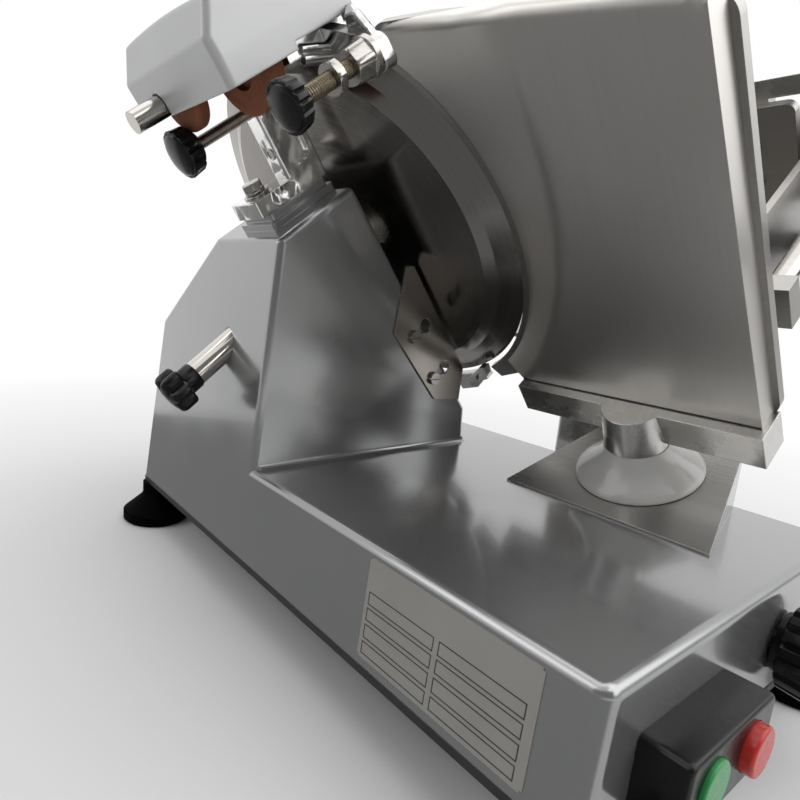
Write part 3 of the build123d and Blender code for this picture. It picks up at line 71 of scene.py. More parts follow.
# Threads of the two hand screws, in the sharpener's own directions: place to the back and up, and
# reach across
ADJUST_SPOT = (-74.0, 70.8)
ADJUST_RADIUS = 4.6
ADJUST_REACH = (-66.0, -3.5)
LOCK_SPOT = (37.0, 67.0)
LOCK_RADIUS = 4.0
LOCK_REACH = (-76.0, -18.3)
THREAD_PITCH = 1.5
THREAD_DEPTH = 0.75

# Round knobs: how far a knob goes over its screw's end, how many flutes it has, and for each knob
# its radius, its length and how far the front is domed
KNOB_GRIP = 6.0
KNOB_FLUTES = 16
ADJUST_KNOB = (13.5, 13.0, 2.5)
LOCK_KNOB = (15.0, 16.0, 3.0)
INDEX_KNOB = (24.0, 24.0, 4.0)

# Star knobs: number of lobes and the hub's radius, and for each knob its least and greatest radius,
# the thickness of the head and the whole length. The tie rod's knob has its front at a place along
# the blade's axis. The tray's has a stem: its radius and where it ends.
STAR_LOBES = 6
STAR_HUB = 9.5
STAR_REACH = (10.6, 15.6)
STAR_HEAD = 16.0
STAR_LENGTH = 26.0
STAR_N = -204.5
TRAY_STAR_REACH = (13.0, 20.0)
TRAY_STAR_HEAD = 11.0
TRAY_STAR_LENGTH = 16.0
TRAY_STAR_STEM = (4.0, 32.0)

# Nuts on the adjusting screw: a plain thin one, and a long tapered one with a collar, which ends at
# the ear. A row with six sides is a height, half the width across the flats and the radius that its
# corners are turned down to.
NUT_PLAY = 0.05
THIN_NUT_START = -40.0
THIN_NUT_SIX = ((0.0, 8.0, 8.15), (0.7, 8.0, 9.1), (4.3, 8.0, 9.1), (5.0, 8.0, 8.15))
EAR_BACK = -12.3
LONG_NUT = 15.0
LONG_NUT_SIX = ((0.0, 8.6, 8.8), (0.8, 8.7, 9.7), (10.8, 9.5, 10.6))
LONG_NUT_COLLAR = ((11.2, 10.3), (11.5, 10.9), (14.6, 11.1), (LONG_NUT, 10.8))

# Bolt, flat washer, split spring washer and rivet of the sharpener's bracket
BOLT_SPOT = (-46.0, 43.0)
BRACKET_TOP = 21.0
BOLT_RADIUS = 3.98
BOLT_SHANK = ((-30.0, 3.5), (-29.5, BOLT_RADIUS), (3.6, BOLT_RADIUS))
BOLT_SIX = ((3.6, 6.5, 6.7), (4.2, 6.5, 7.4), (8.2, 6.5, 7.4), (8.9, 6.5, 6.7))
BOLT_FACE = ((9.1, 6.0), (8.8, 5.2))
WASHER_BORE = 4.3
WASHER_THICKNESS = 1.6
FLAT_WASHER = ((0.0, 8.8), (0.2, 9.0), (1.3, 9.0), (WASHER_THICKNESS, 8.7))
SPRING_SECTION = ((0.0, WASHER_BORE), (0.0, 7.0), (0.8, 7.2), (1.65, 7.0), (1.65, WASHER_BORE))
SPRING_SPLIT = radians(14)
SPRING_RISE = 0.35
SPRING_STEPS = 58
RIVET_SPOT = (-28.0, 32.0, 39.3)
RIVET = ((-0.3, 4.1), (0.3, 4.1), (0.6, 3.7), (0.6, 3.2), (0.1, 2.7))

# Plate that carries the sharpener's ear up to the hood, and the arm from there to the hood's corner,
# in the sharpener's own directions: across, to the back and up
WEB_A = (-9.0, -4.2)
WEB_OUTLINE = ((-64.0, 91.5), (-71.0, 91.5), (-76.2, 82.5), (-79.4, 76.2), (-70.0, 76.4), (-62.0, 80.0))
ARM_NEAR = ((-64.0, 86.0), (-64.0, 91.0), (-71.5, 86.0), (-70.5, 91.0))
ARM_FAR = ((4.0, -53.0, 90.0), (4.0, -53.0, 95.0), (8.0, -53.0, 90.0), (8.0, -53.0, 95.0))
WEB_ROUNDING = 0.5

# Formed cover behind the gauge plate, in the blade's own directions: back along the machine, up the
# plate and along the blade's axis. Its hollow widens from a circle round the blade to a larger one.
COVER_SEAM = -6.0
COVER_BACK = -21.0
COVER_LEFT = -284.0
COVER_FOOT = -116.2
COVER_TOP = (
    (COVER_LEFT, 101.0), (-205.0, 117.5), (-172.0, 120.0), (-130.0, 126.0), (-116.0, 127.5), (-104.0, 117.0),
)
COVER_EDGE = 6.0
HOLLOW_START = 157.0
HOLLOW_CENTRE = (39.7, 53.1)
HOLLOW_SPREAD = 83.4
HOLLOW_SOFT = (0.84, 1.16)

# Dark strip between the cover's foot and the carrying bar: painted shadow of the gap between them
SHADOW_GAP_ENDS = (-283.5, -131.0)
SHADOW_GAP_PROUD = 0.25
SHADOW_GAP_HEIGHT = 0.9

# Skirt round the gauge's post, on the ramp
RAMP_X = 150.5
RAMP_TILT = radians(25.0)
POST_ALONG = 53.5
POST_Y = 100.0
SKIRT = (
    (0.5, 38.5), (1.6, 38.5), (2.6, 37.9), (4.2, 36.2), (6.3, 33.4), (8.8, 30.0), (11.6, 26.6), (14.4, 23.7),
    (17.2, 21.5), (19.6, 20.1), (21.3, 19.4), (21.3, 19.1), (17.0, 19.1), (14.0, 22.0), (8.0, 29.4),
    (3.4, 35.4), (0.5, 37.2),
)

# Plate on the base's drafted side, and its ruled boxes as shares of its width and height
PLATE_Y = (25.0, 128.0)
PLATE_Z = (-58.0, -5.5)
PLATE_THICKNESS = 0.4
PLATE_CORNER = 1.2
RULE_WIDTH = 0.55
RULE_HEIGHT = 0.08
RULE_COLUMNS = ((0.025, 0.47), (0.50, 0.955))
RULE_ROWS = ((0.327, 0.458), (0.49, 0.62), (0.656, 0.797), (0.83, 0.957))

# Edges sharper than this stay sharp in the pieces made here
SHARP_EDGE = radians(32)

# Rounding of small edges in the materials
PAINT_EDGE = 0.0014
BRUSHED_EDGE = 0.0005
CAST_EDGE = 0.0009

# Scale of brushed grain per metre, along the grain and across it, and of lathe rings
GRAIN = (9.0, 900.0)
SOFT_GRAIN = (5.0, 520.0)
SCRAPER_GRAIN = (6.0, 700.0)
PIN_GRAIN = (8.0, 800.0)
LATHE_RINGS = 900.0

# The photograph's camera, in the machine's axes
CAMERA_SPOT = (-186.5, -83.7, 130.0)
CAMERA_RIGHT = Vector((0.7967, -0.5996, 0.0757))
CAMERA_DOWN = Vector((-0.0574, -0.1998, -0.9782))
CAMERA_FORWARD = Vector((0.6016, 0.7750, -0.1936))
CAMERA_LENS = 27.11
CAMERA_SHIFT = (0.0625, -0.0025)

# Floor and world. The floor turns into the white background between two distances from the middle.
FLOOR_RADIUS = 6.0
FLOOR_GREY = 0.84
FLOOR_FADE = (0.34, 1.0)
WORLD_GREY = 0.40

# Cards that only polished surfaces see: place, point faced, width and height, grey level
CARDS = {
    "card_right": ((0.8, -1.5, 0.165), (0, 0, 0.165), (2.8, 0.33), 0.42),
    "card_front": ((-0.9, -1.4, 0.8), (0, 0, 0.3), (2.2, 1.6), 0.16),
    "card_side": ((-1.9, -0.2, 0.7), (0, 0, 0.3), (1.6, 1.4), 0.20),
    "card_low": ((-0.83, 0.05, 0.01), (-0.83, 0.05, 1.0), (1.35, 1.3), 0.25),
}

# Lamps: place, point faced, width and height, watts
LAMPS = {
    "window": ((0.9, -1.7, 1.7), (0, 0, 0.2), (3.0, 2.4), 36),
    "ceiling": ((0.3, 0.4, 2.2), (0, 0, 0.2), (2.6, 2.6), 19),
    "fill": ((-1.7, 0.7, 1.3), (0, 0, 0.2), (1.4, 1.2), 8),
}


# Frames

def machine(x, y, z):
    """A point of the machine in the model's frame, in metres."""
    return Vector((x - MIDDLE_X, y - MIDDLE_Y, z + DECK_HEIGHT)) / 1000


def axes(origin, x_axis, y_axis, z_axis):
    """A frame whose own units are millimetres."""
    turn = Matrix((x_axis, y_axis, z_axis)).transposed().to_4x4()
    return Matrix.Translation(origin) @ turn @ Matrix.Scale(0.001, 4)


machine_back = Vector((0, 1, 0))
upright = Vector((0, 0, 1))

blade_axis = Vector((cos(BLADE_TILT), 0, sin(BLADE_TILT)))
blade_up = Vector((-sin(BLADE_TILT), 0, cos(BLADE_TILT)))
blade_middle = machine(*BLADE_CENTRE)
blade_frame = axes(blade_middle, machine_back, blade_up, blade_axis)

facet_across = Vector((cos(FACET_TILT), 0, sin(FACET_TILT)))
facet_up = Vector((-sin(FACET_TILT), 0, cos(FACET_TILT)))
facet_x = BLADE_CENTRE[0] - FACET_U * sin(BLADE_TILT) + WALL_N * cos(BLADE_TILT)
facet_z = BLADE_CENTRE[2] + FACET_U * cos(BLADE_TILT) + WALL_N * sin(BLADE_TILT)
facet_frame = axes(machine(facet_x, PEDESTAL_FRONT, facet_z), facet_across, machine_back, facet_up)

ramp_across = Vector((cos(RAMP_TILT), 0, sin(RAMP_TILT)))
ramp_up = Vector((-sin(RAMP_TILT), 0, cos(RAMP_TILT)))
post_foot = machine(RAMP_X + POST_ALONG * ramp_across.x, POST_Y, POST_ALONG * ramp_across.z)
post_frame = axes(post_foot, ramp_across, machine_back, ramp_up)


def facing(origin, z_axis, x_axis=machine_back):
    """A frame in millimetres whose own z axis points a given way."""
    return axes(origin, x_axis, z_axis.cross(x_axis), z_axis)


def on_facet(a, d, b, side):
    """A frame on a line across the sharpener, pointing to the carriage side (1) or away (-1)."""
    return facing(facet_frame @ Vector((a, d, b)), side * facet_across)


# Materials

class Shader:
    """A material and short ways to add nodes to it."""

    def __init__(self, name):
        self.material = bpy.data.materials.new(name)
        self.material.use_nodes = True
        self.tree = self.material.node_tree
        self.surface = self.tree.nodes["Principled BSDF"]
        self.place = self.add("ShaderNodeTexCoord").outputs["Object"]

    def add(self, kind, **settings):
        """A new node with some settings."""
        node = self.tree.nodes.new(kind)
        for name, value in settings.items():
            setattr(node, name, value)
        return node

    def link(self, source, target):
        """Joins an output to an input."""
        self.tree.links.new(source, target)

    def set(self, **values):
        """Sets values that are the same all over the surface."""
        for name, value in values.items():
            socket = self.surface.inputs[name.replace("_", " ")]
            socket.default_value = value

    def along(self, axis):
        """Distance along an axis, in metres."""
        dot = self.add("ShaderNodeVectorMath", operation="DOT_PRODUCT")
        self.link(self.place, dot.inputs[0])
        dot.inputs[1].default_value = axis
        return dot.outputs["Value"]

    def stretched(self, directions, scales):
        """Coordinates along three directions, each with its own scale per metre."""
        joined = self.add("ShaderNodeCombineXYZ")
        for index, (axis, scale) in enumerate(zip(directions, scales)):
            scaled = self.math("MULTIPLY", self.along(axis), scale)
            self.link(scaled, joined.inputs[index])
        return joined.outputs[0]

    def radius(self, centre, axis):
        """Distance from a line, in metres."""
        offset = self.add("ShaderNodeVectorMath", operation="SUBTRACT")
        self.link(self.place, offset.inputs[0])
        offset.inputs[1].default_value = centre
        cross = self.add("ShaderNodeVectorMath", operation="CROSS_PRODUCT")
        self.link(offset.outputs[0], cross.inputs[0])
        cross.inputs[1].default_value = axis
        length = self.add("ShaderNodeVectorMath", operation="LENGTH")
        self.link(cross.outputs[0], length.inputs[0])
        return length.outputs["Value"]

    def math(self, operation, first, second):
        """Sum, product or the like of two outputs or numbers."""
        node = self.add("ShaderNodeMath", operation=operation)
        for socket, value in zip(node.inputs, (first, second)):
            if isinstance(value, (int, float)):
                socket.default_value = value
            else:
                self.link(value, socket)
        return node.outputs[0]

    def noise(self, scale, detail=3.0, vector=None, roughness=0.55):
        """Cloudy noise from 0 to 1."""
        node = self.add("ShaderNodeTexNoise")
        self.link(vector or self.place, node.inputs["Vector"])
        node.inputs["Scale"].default_value = scale
        node.inputs["Detail"].default_value = detail
        node.inputs["Roughness"].default_value = roughness
        return node.outputs["Fac"]

    def cells(self, scale):
        """Distance from the middles of random cells."""
        node = self.add("ShaderNodeTexVoronoi")
        self.link(self.place, node.inputs["Vector"])
        node.inputs["Scale"].default_value = scale
        return node.outputs["Distance"]

    def spread(self, value, low, high, start=0.3, end=0.7):
        """Maps a value's middle range to two numbers."""
        node = self.add("ShaderNodeMapRange")
        self.link(value, node.inputs["Value"])
        node.inputs["From Min"].default_value = start
        node.inputs["From Max"].default_value = end
        node.inputs["To Min"].default_value = low
        node.inputs["To Max"].default_value = high
        return node.outputs["Result"]

    def blend(self, factor, first, second):
        """A colour between two."""
        node = self.add("ShaderNodeMix", data_type="RGBA")
        self.link(factor, node.inputs["Factor"])
        node.inputs["A"].default_value = (*first, 1)
        node.inputs["B"].default_value = (*second, 1)
        return node.outputs["Result"]

    def bump(self, height, strength, distance, under=None):
        """Fine relief, which may lie over another normal."""
        node = self.add("ShaderNodeBump")
        node.inputs["Strength"].default_value = strength
        node.inputs["Distance"].default_value = distance
        self.link(height, node.inputs["Height"])
        if under:
            self.link(under, node.inputs["Normal"])
        return node.outputs["Normal"]

    def soft_edge(self, radius):
        """Normal that rounds sharp edges."""
        node = self.add("ShaderNodeBevel", samples=4)
        node.inputs["Radius"].default_value = radius
        return node.outputs["Normal"]

    def finish(self, colour=None, rough=None, normal=None):
        """Joins what was made to the surface."""
        for value, name in ((colour, "Base Color"), (rough, "Roughness"), (normal, "Normal")):
            if value:
                self.link(value, self.surface.inputs[name])
        return self.material

    def show(self, shader):
        """Puts another shader in the place of the surface."""
        self.link(shader.outputs[0], self.tree.nodes["Material Output"].inputs["Surface"])
        return self.material


def paint(name, light, dark, rough, metallic, coat):
    """Silver paint: an almost even metallic grey under a thin clear coat."""
    s = Shader(name)
    s.set(Metallic=metallic, Coat_Weight=coat, Coat_Roughness=0.06)
    cloud = s.noise(scale=6.0, detail=2.0)
    patches = s.noise(scale=20.0, detail=1.0)
    colour = s.blend(s.spread(cloud, 0, 1), dark, light)
    roughness = s.spread(patches, rough - 0.03, rough + 0.03)
    return s.finish(colour, roughness, s.soft_edge(PAINT_EDGE))


def brushed(name, light, dark, rough, grain, across, relief=0.05, scales=GRAIN):
    """Steel or aluminium ground in one direction, with faint hand marks."""
    s = Shader(name)
    s.set(Metallic=1.0)
    directions = (grain, across, grain.cross(across))
    place = s.stretched(directions, (*scales, 3 * scales[0]))
    lines = s.noise(scale=1.0, vector=place, roughness=0.6)
    smear = s.noise(scale=12.0)
    colour = s.blend(s.spread(lines, 0, 1, 0.25, 0.75), dark, light)
    blur = s.math("ADD", s.spread(lines, -0.03, 0.03), s.spread(smear, rough - 0.04, rough + 0.05))
    normal = s.bump(lines, strength=relief, distance=0.00005, under=s.soft_edge(BRUSHED_EDGE))
    return s.finish(colour, blur, normal)


def lathed(name, light, dark, rough, centre, axis):
    """Steel with the fine rings that a lathe or grinder leaves."""
    s = Shader(name)
    s.set(Metallic=1.0)
    joined = s.add("ShaderNodeCombineXYZ")
    s.link(s.math("MULTIPLY", s.radius(centre, axis), LATHE_RINGS), joined.inputs[0])
    s.link(s.math("MULTIPLY", s.along(axis), LATHE_RINGS), joined.inputs[1])
    rings = s.noise(scale=1.0, vector=joined.outputs[0], roughness=0.6)
    smear = s.noise(scale=18.0, detail=4.0)
    colour = s.blend(s.spread(rings, 0, 1, 0.25, 0.75), dark, light)
    blur = s.math("ADD", s.spread(rings, -0.03, 0.03), s.spread(smear, rough - 0.04, rough + 0.06))
    return s.finish(colour, blur, s.bump(rings, strength=0.10, distance=0.00004))


def cast(name, light, dark, rough, mottle, relief=0.08, depth=0.0006):
    """Hand-polished casting or plated metal: a little uneven, with small marks."""
    s = Shader(name)
    s.set(Metallic=1.0)
    uneven = s.noise(scale=mottle, detail=1.5, roughness=0.5)
    marks = s.noise(scale=160.0, detail=1.0)
    colour = s.blend(s.spread(uneven, 0, 1), dark, light)
    blur = s.math("ADD", s.spread(marks, -0.03, 0.03), s.spread(uneven, rough - 0.05, rough + 0.06))
    normal = s.bump(uneven, strength=relief, distance=depth, under=s.soft_edge(CAST_EDGE))
    return s.finish(colour, blur, normal)


def moulded(name, light, dark, rough, grain=260.0, relief=0.05, gloss=0.45):
    """Plastic, rubber or plain paint with a fine skin and a little dust."""
    s = Shader(name)
    s.set(Specular_IOR_Level=gloss)
    skin = s.noise(scale=grain, detail=2.0)
    dust = s.noise(scale=35.0, detail=4.0)
    colour = s.blend(s.spread(dust, 0, 1), dark, light)
    roughness = s.math("ADD", s.spread(skin, -0.04, 0.04), s.spread(dust, rough - 0.05, rough + 0.08))
    return s.finish(colour, roughness, s.bump(skin, strength=relief, distance=0.0001))


def abrasive(name, light, dark):
    """Bonded grit of a grinding stone."""
    s = Shader(name)
    s.set(Roughness=0.88, Specular_IOR_Level=0.25)
    grit = s.cells(scale=1900.0)
    patch = s.noise(scale=120.0, detail=4.0)
    tone = s.math("ADD", s.math("MULTIPLY", grit, 0.7), s.math("MULTIPLY", patch, 0.6))
    colour = s.blend(s.spread(tone, 0, 1, 0.3, 0.85), dark, light)
    return s.finish(colour, normal=s.bump(tone, strength=0.6, distance=0.0003))


# The record's material slots. The two colours of a material are its lightest and its darkest.
materials = {
    "grey_paint": paint(
        "silver grey paint", (0.345, 0.347, 0.35), (0.325, 0.327, 0.33),
        rough=0.19, metallic=0.72, coat=0.35),
    "hood_paint": paint(
        "light silver paint", (0.47, 0.472, 0.475), (0.445, 0.447, 0.45),
        rough=0.42, metallic=0.35, coat=0.1),
    "satin_steel": brushed(
        "satin steel", (0.57, 0.553, 0.53), (0.535, 0.52, 0.498),
        rough=0.38, grain=blade_up, across=machine_back, relief=0.02, scales=SOFT_GRAIN),
    "polished_steel": lathed(
        "blade steel", (0.30, 0.285, 0.268), (0.25, 0.238, 0.224),
        rough=0.17, centre=blade_middle, axis=blade_axis),
    "plain_steel": brushed(
        "turned steel", (0.50, 0.48, 0.455), (0.40, 0.385, 0.365),
        rough=0.24, grain=machine_back, across=upright),
    "cast_aluminium": cast(
        "polished casting", (0.60, 0.592, 0.575), (0.53, 0.522, 0.507), rough=0.26, mottle=60.0),
    "brassy_thread": cast(
        "yellow plating", (0.36, 0.305, 0.22), (0.27, 0.225, 0.16), rough=0.22, mottle=300.0),
    "black_plastic": moulded(
        "black plastic", (0.009, 0.009, 0.0095), (0.006, 0.006, 0.0065),
        rough=0.22, relief=0.03, gloss=0.25),
    "black_rubber": moulded(
        "black rubber", (0.002, 0.002, 0.002), (0.001, 0.001, 0.001),
        rough=0.70, relief=0.1, gloss=0.03),
    "dark_paint": moulded(
        "dark paint", (0.030, 0.030, 0.031), (0.018, 0.018, 0.019),
        rough=0.48, grain=300.0, relief=0.2),
    "white_plastic": moulded(
        "white plastic", (0.48, 0.475, 0.46), (0.46, 0.455, 0.44),
        rough=0.16, grain=120.0, relief=0.01),
    "brown_stone": abrasive("brown stone", (0.235, 0.085, 0.045), (0.11, 0.038, 0.02)),
    "green_plastic": moulded("green plastic", (0.04, 0.34, 0.10), (0.03, 0.26, 0.075), rough=0.25),
    "red_plastic": moulded("red plastic", (0.60, 0.035, 0.03), (0.46, 0.025, 0.022), rough=0.25),
}

# Nodes with a finish of their own
tray_steel = brushed(
    "tray steel", (0.38, 0.37, 0.355), (0.345, 0.335, 0.32),
    rough=0.36, grain=machine_back, across=upright, relief=0.02, scales=SOFT_GRAIN)
own_materials = {
    "food_tray": tray_steel,
    "gauge_plate": tray_steel,
    "pusher_plate": tray_steel,
    "sharpener_bracket": cast(
        "polished bracket", (0.95, 0.947, 0.935), (0.62, 0.617, 0.608),
        rough=0.10, mottle=42.0, relief=1.0, depth=0.0025),
    "sharpener_body": cast(
        "bright casting", (0.62, 0.617, 0.608), (0.44, 0.438, 0.43),
        rough=0.18, mottle=60.0, relief=1.0, depth=0.0012),
    "tie_rod_sleeve": brushed(
        "bright sleeve", (0.74, 0.705, 0.66), (0.64, 0.61, 0.57),
        rough=0.13, grain=blade_axis, across=machine_back, relief=0.04, scales=PIN_GRAIN),
    "push_pin": brushed(
        "bright pin", (0.55, 0.53, 0.50), (0.45, 0.43, 0.41),
        rough=0.14, grain=facet_across, across=machine_back, relief=0.04, scales=PIN_GRAIN),
    "slice_deflector": brushed(
        "scraper steel", (0.50, 0.467, 0.43), (0.39, 0.365, 0.335),
        rough=0.26, grain=blade_up, across=machine_back, relief=0.06, scales=SCRAPER_GRAIN),
    "ramp_sheet_cover": brushed(
        "sheet steel", (0.47, 0.462, 0.45), (0.44, 0.432, 0.42),
        rough=0.30, grain=machine_back, across=ramp_across, relief=0.02, scales=SOFT_GRAIN),
}

# Finishes of pieces made here
stud_material = cast("dark stud", (0.40, 0.35, 0.31), (0.29, 0.25, 0.22), rough=0.18, mottle=300.0)
plate_material = moulded(
    "plate white", (0.29, 0.282, 0.265), (0.27, 0.263, 0.247), rough=0.45, grain=200.0, relief=0.02)
ink_material = moulded(
    "plate ink", (0.05, 0.05, 0.05), (0.03, 0.03, 0.03), rough=0.5, grain=200.0, relief=0.02)

slot_of_node = {entry["node"]: entry["material_slot"] for entry in frame["record"]["subparts"]}


def dress(piece, material):
    """Gives a piece one material."""
    piece.data.materials.clear()
    piece.data.materials.append(material)


for name, piece in nodes.items():
    dress(piece, own_materials.get(name) or materials[slot_of_node[name]])


# Pieces made here

def new_piece(name, builder, place, body, slot, *replaced, material=None):
    """Puts a bmesh into the scene as a piece that rides on a body and may stand for CAD nodes."""
    bmesh.ops.recalc_face_normals(builder, faces=builder.faces)
    mesh = bpy.data.meshes.new(name)
    builder.to_mesh(mesh)
    builder.free()
    mesh.transform(place)
    mesh.shade_smooth()
    mesh.set_sharp_from_angle(angle=SHARP_EDGE)
    piece = bpy.data.objects.new(name, mesh)
    scene.collection.objects.link(piece)
    dress(piece, material or materials[slot])
    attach(piece, body)
    if replaced:
        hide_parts(*replaced)


def block(builder, low, high):
    """Adds a box between two corners."""
    middle = [(a + b) / 2 for a, b in zip(low, high)]
    size = [b - a for a, b in zip(low, high)]
    place = Matrix.Translation(middle) @ Matrix.Diagonal((*size, 1))
    bmesh.ops.create_cube(builder, size=1, matrix=place)


def round_form(rows, segments=96, ring=False, builder=None):
    """A form round its own z axis. A row is a height and a radius, which may depend on the angle."""
    builder = builder or bmesh.new()
    loops = []
    for height, radius in rows:
        loop = []
        for step in range(segments):
            angle = 2 * pi * step / segments
            distance = radius(angle) if callable(radius) else radius
            loop.append(builder.verts.new((distance * cos(angle), distance * sin(angle), height)))
        loops.append(loop)
    if ring:
        loops.append(loops[0])
    else:
        builder.faces.new(loops[0])
        builder.faces.new(loops[-1])
    for low, high in zip(loops, loops[1:]):
        for step in range(segments):
            after = (step + 1) % segments
            builder.faces.new((low[step], low[after], high[after], high[step]))
    return builder


def bored(rows, bore):
    """Rows of a ring: an outside, closed by a straight bore."""
    return [(rows[0][0], bore), *rows, (rows[-1][0], bore)]


def hexagon(apothem, limit):
    """Radius of a six-sided form whose corners are turned down to a limit."""
    def radius(angle):
        return min(apothem / cos(angle % (pi / 3) - pi / 6), limit)
    return radius


def six_sided(rows):
    """Rows of a nut or bolt head, from heights, apothems and limits."""
    return [(height, hexagon(apothem, limit)) for height, apothem, limit in rows]


def fluted(radius, depth):
    """Radius of a knob's grip: lands with rounded flutes between them."""
    steepness = 1.5

    def at_angle(angle):
        return radius - depth * max(cos(KNOB_FLUTES * angle), 0) ** steepness
    return at_angle


def lobed(inner, outer):
    """Radius of a star knob."""
    fullness = 0.7

    def at_angle(angle):
        return inner + (outer - inner) * (0.5 + 0.5 * cos(STAR_LOBES * angle)) ** fullness
    return at_angle


def fluted_knob(size):
    """A clamp knob: round collar, fluted grip and a domed face inside a narrow rim."""
    radius, length, dome = size
    collar = 0.16 * length
    front = length - dome
    groove = front - 0.35
    depth = 0.09 * radius
    face = 0.875 * radius
    rows = [
        (0, 0.62 * radius),
        (0.3, 0.66 * radius),
        (collar, 0.70 * radius),
        (collar + 0.2, fluted(0.88 * radius, depth)),
        (collar + 1.2, fluted(0.93 * radius, depth)),
        (front - 2.2, fluted(0.985 * radius, depth)),
        (front - 1.0, fluted(radius, depth)),
        (front - 0.3, fluted(0.985 * radius, 0.5 * depth)),
        (front, 0.945 * radius),
        (front, 0.915 * radius),
        (groove, 0.905 * radius),
        (groove, 0.885 * radius),
        (front, face),
    ]
    dome_steps = 7
    for step in range(1, dome_steps + 1):
        turn = 0.5 * pi * step / (dome_steps + 0.6)
        rows.append((front + dome * sin(turn), face * cos(turn)))
    return round_form(rows, segments=12 * KNOB_FLUTES)


def star_knob(reach, head, length, stem=()):
    """A star knob: domed front at the foot of the axis, soft lobes, and a round hub and stem behind."""
    inner, outer = reach
    rows = [(0.0, 0.12 * outer), (0.15, 0.3 * outer), (0.8, 0.52 * outer)]
    front_edge = ((1.8, 0.84), (2.8, 0.92), (4.2, 0.975), (6.0, 1.0))
    back_edge = ((head - 2.0, 1.0), (head - 0.8, 0.97), (head, 0.90))
    for height, share in (*front_edge, *back_edge):
        rows.append((height, lobed(share * inner, share * outer)))
    hub = 1.03 * STAR_HUB
    rows += [(head + 0.1, hub), (length - 1.2, hub), (length, 0.97 * STAR_HUB)]
    if stem:
        stem_radius, stem_end = stem
        rows += [(length, stem_radius), (stem_end, stem_radius)]
    return round_form(rows, segments=24 * STAR_LOBES)


def threaded_bar(radius, reach):
    """A bar along its own x axis with a helical thread, between two limits."""
    builder = bmesh.new()
    steps = 24
    weld = 0.0005
    start, end = reach
    root = radius - THREAD_DEPTH
    # Shares of the pitch at which the root, the flank and the crest begin and the crest ends
    profile = ((0.0, root), (0.12, root), (0.45, radius), (0.62, radius))
    turns = int((end - start) / THREAD_PITCH) + 2
    rings = []
    for step in range(turns * steps + 1):
        angle = 2 * pi * step / steps
        turn_start = start + (step / steps - 1) * THREAD_PITCH
        ring = []
        for offset, distance in profile:
            x = min(max(turn_start + offset * THREAD_PITCH, start), end)
            ring.append(builder.verts.new((x, distance * cos(angle), distance * sin(angle))))
        rings.append(ring)
    last = len(rings) - 1
    for step in range(last):
        here = rings[step]
        after = rings[step + 1]
        for index in range(len(profile) - 1):
            builder.faces.new((here[index], here[index + 1], after[index + 1], after[index]))
        if step + 1 + steps <= last:
            next_turn = rings[step + steps]
            next_after = rings[step + 1 + steps]
            builder.faces.new((here[-1], next_turn[0], next_after[0], after[-1]))
    bmesh.ops.remove_doubles(builder, verts=builder.verts, dist=weld)
    return builder


# Hand screws and knobs
adjust_place = facet_frame @ Matrix.Translation((0, *ADJUST_SPOT))
new_piece("adjust_thread", threaded_bar(ADJUST_RADIUS, ADJUST_REACH), adjust_place,
          "adjuster", "brassy_thread", "adjust_screw")
lock_place = facet_frame @ Matrix.Translation((0, *LOCK_SPOT))
new_piece("lock_thread", threaded_bar(LOCK_RADIUS, LOCK_REACH), lock_place,
          "lock", "plain_steel", "lock_screw", material=stud_material)

adjust_knob_place = on_facet(ADJUST_REACH[0] + KNOB_GRIP, *ADJUST_SPOT, -1)
new_piece("adjust_clamp_knob", fluted_knob(ADJUST_KNOB), adjust_knob_place,
          "adjuster", "black_plastic", "adjust_knob")
lock_knob_place = on_facet(LOCK_REACH[0] + KNOB_GRIP, *LOCK_SPOT, -1)
new_piece("lock_clamp_knob", fluted_knob(LOCK_KNOB), lock_knob_place,
          "lock", "black_plastic", "lock_knob")
star_place = blade_frame @ Matrix.Translation((0, 0, STAR_N))
new_piece("star_knob", star_knob(STAR_REACH, STAR_HEAD, STAR_LENGTH), star_place,
          "tie_rod_set", "black_plastic", "tie_rod_knob")

index_low, index_high = (Vector(corner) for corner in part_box("index_knob"))
index_middle = (index_low + index_high) / 2
index_back = Vector((index_middle.x, index_high.y, index_middle.z))
index_place = facing(index_back, Vector((0, -1, 0)), Vector((1, 0, 0)))
new_piece("index_dial_knob", fluted_knob(INDEX_KNOB), index_place,
          "index", "black_plastic", "index_knob")

tray_low, tray_high = (Vector(corner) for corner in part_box("tray_lock_knob"))
tray_middle = (tray_low + tray_high) / 2
tray_place = facing(Vector((tray_high.x, tray_middle.y, tray_middle.z)), Vector((-1, 0, 0)))
tray_form = star_knob(TRAY_STAR_REACH, TRAY_STAR_HEAD, TRAY_STAR_LENGTH, TRAY_STAR_STEM)
new_piece("tray_star_knob", tray_form, tray_place, "tray_lock", "black_plastic", "tray_lock_knob")


# Gauge's formed cover: the flat back, its rounded upper edge and the hollow round the blade

def hollow_share(y, u):
    """How far out a point lies between the hollow's small circle (0) and its large one (1)."""
    a = hypot(*HOLLOW_CENTRE) ** 2 - HOLLOW_SPREAD ** 2
    b = -2 * (y * HOLLOW_CENTRE[0] + u * HOLLOW_CENTRE[1] + HOLLOW_START * HOLLOW_SPREAD)
    c = max(y * y + u * u - HOLLOW_START ** 2, 0)
    return (-b - sqrt(b * b - 4 * a * c)) / (2 * a)


def hollow_depth(share):
    """Depth of the cover as a share of its full depth, with a soft ridge."""
    start, end = HOLLOW_SOFT
    if share < start:
        return share
    past = min(share, end) - start
    return start + past - past ** 2 / (2 * (end - start))


def edge_distance(point, first, second):
    """Distance from a point to a stretch of the outline."""
    along = second - first
    share = min(max((point - first).dot(along) / along.length_squared, 0), 1)
    return (point - first - share * along).length


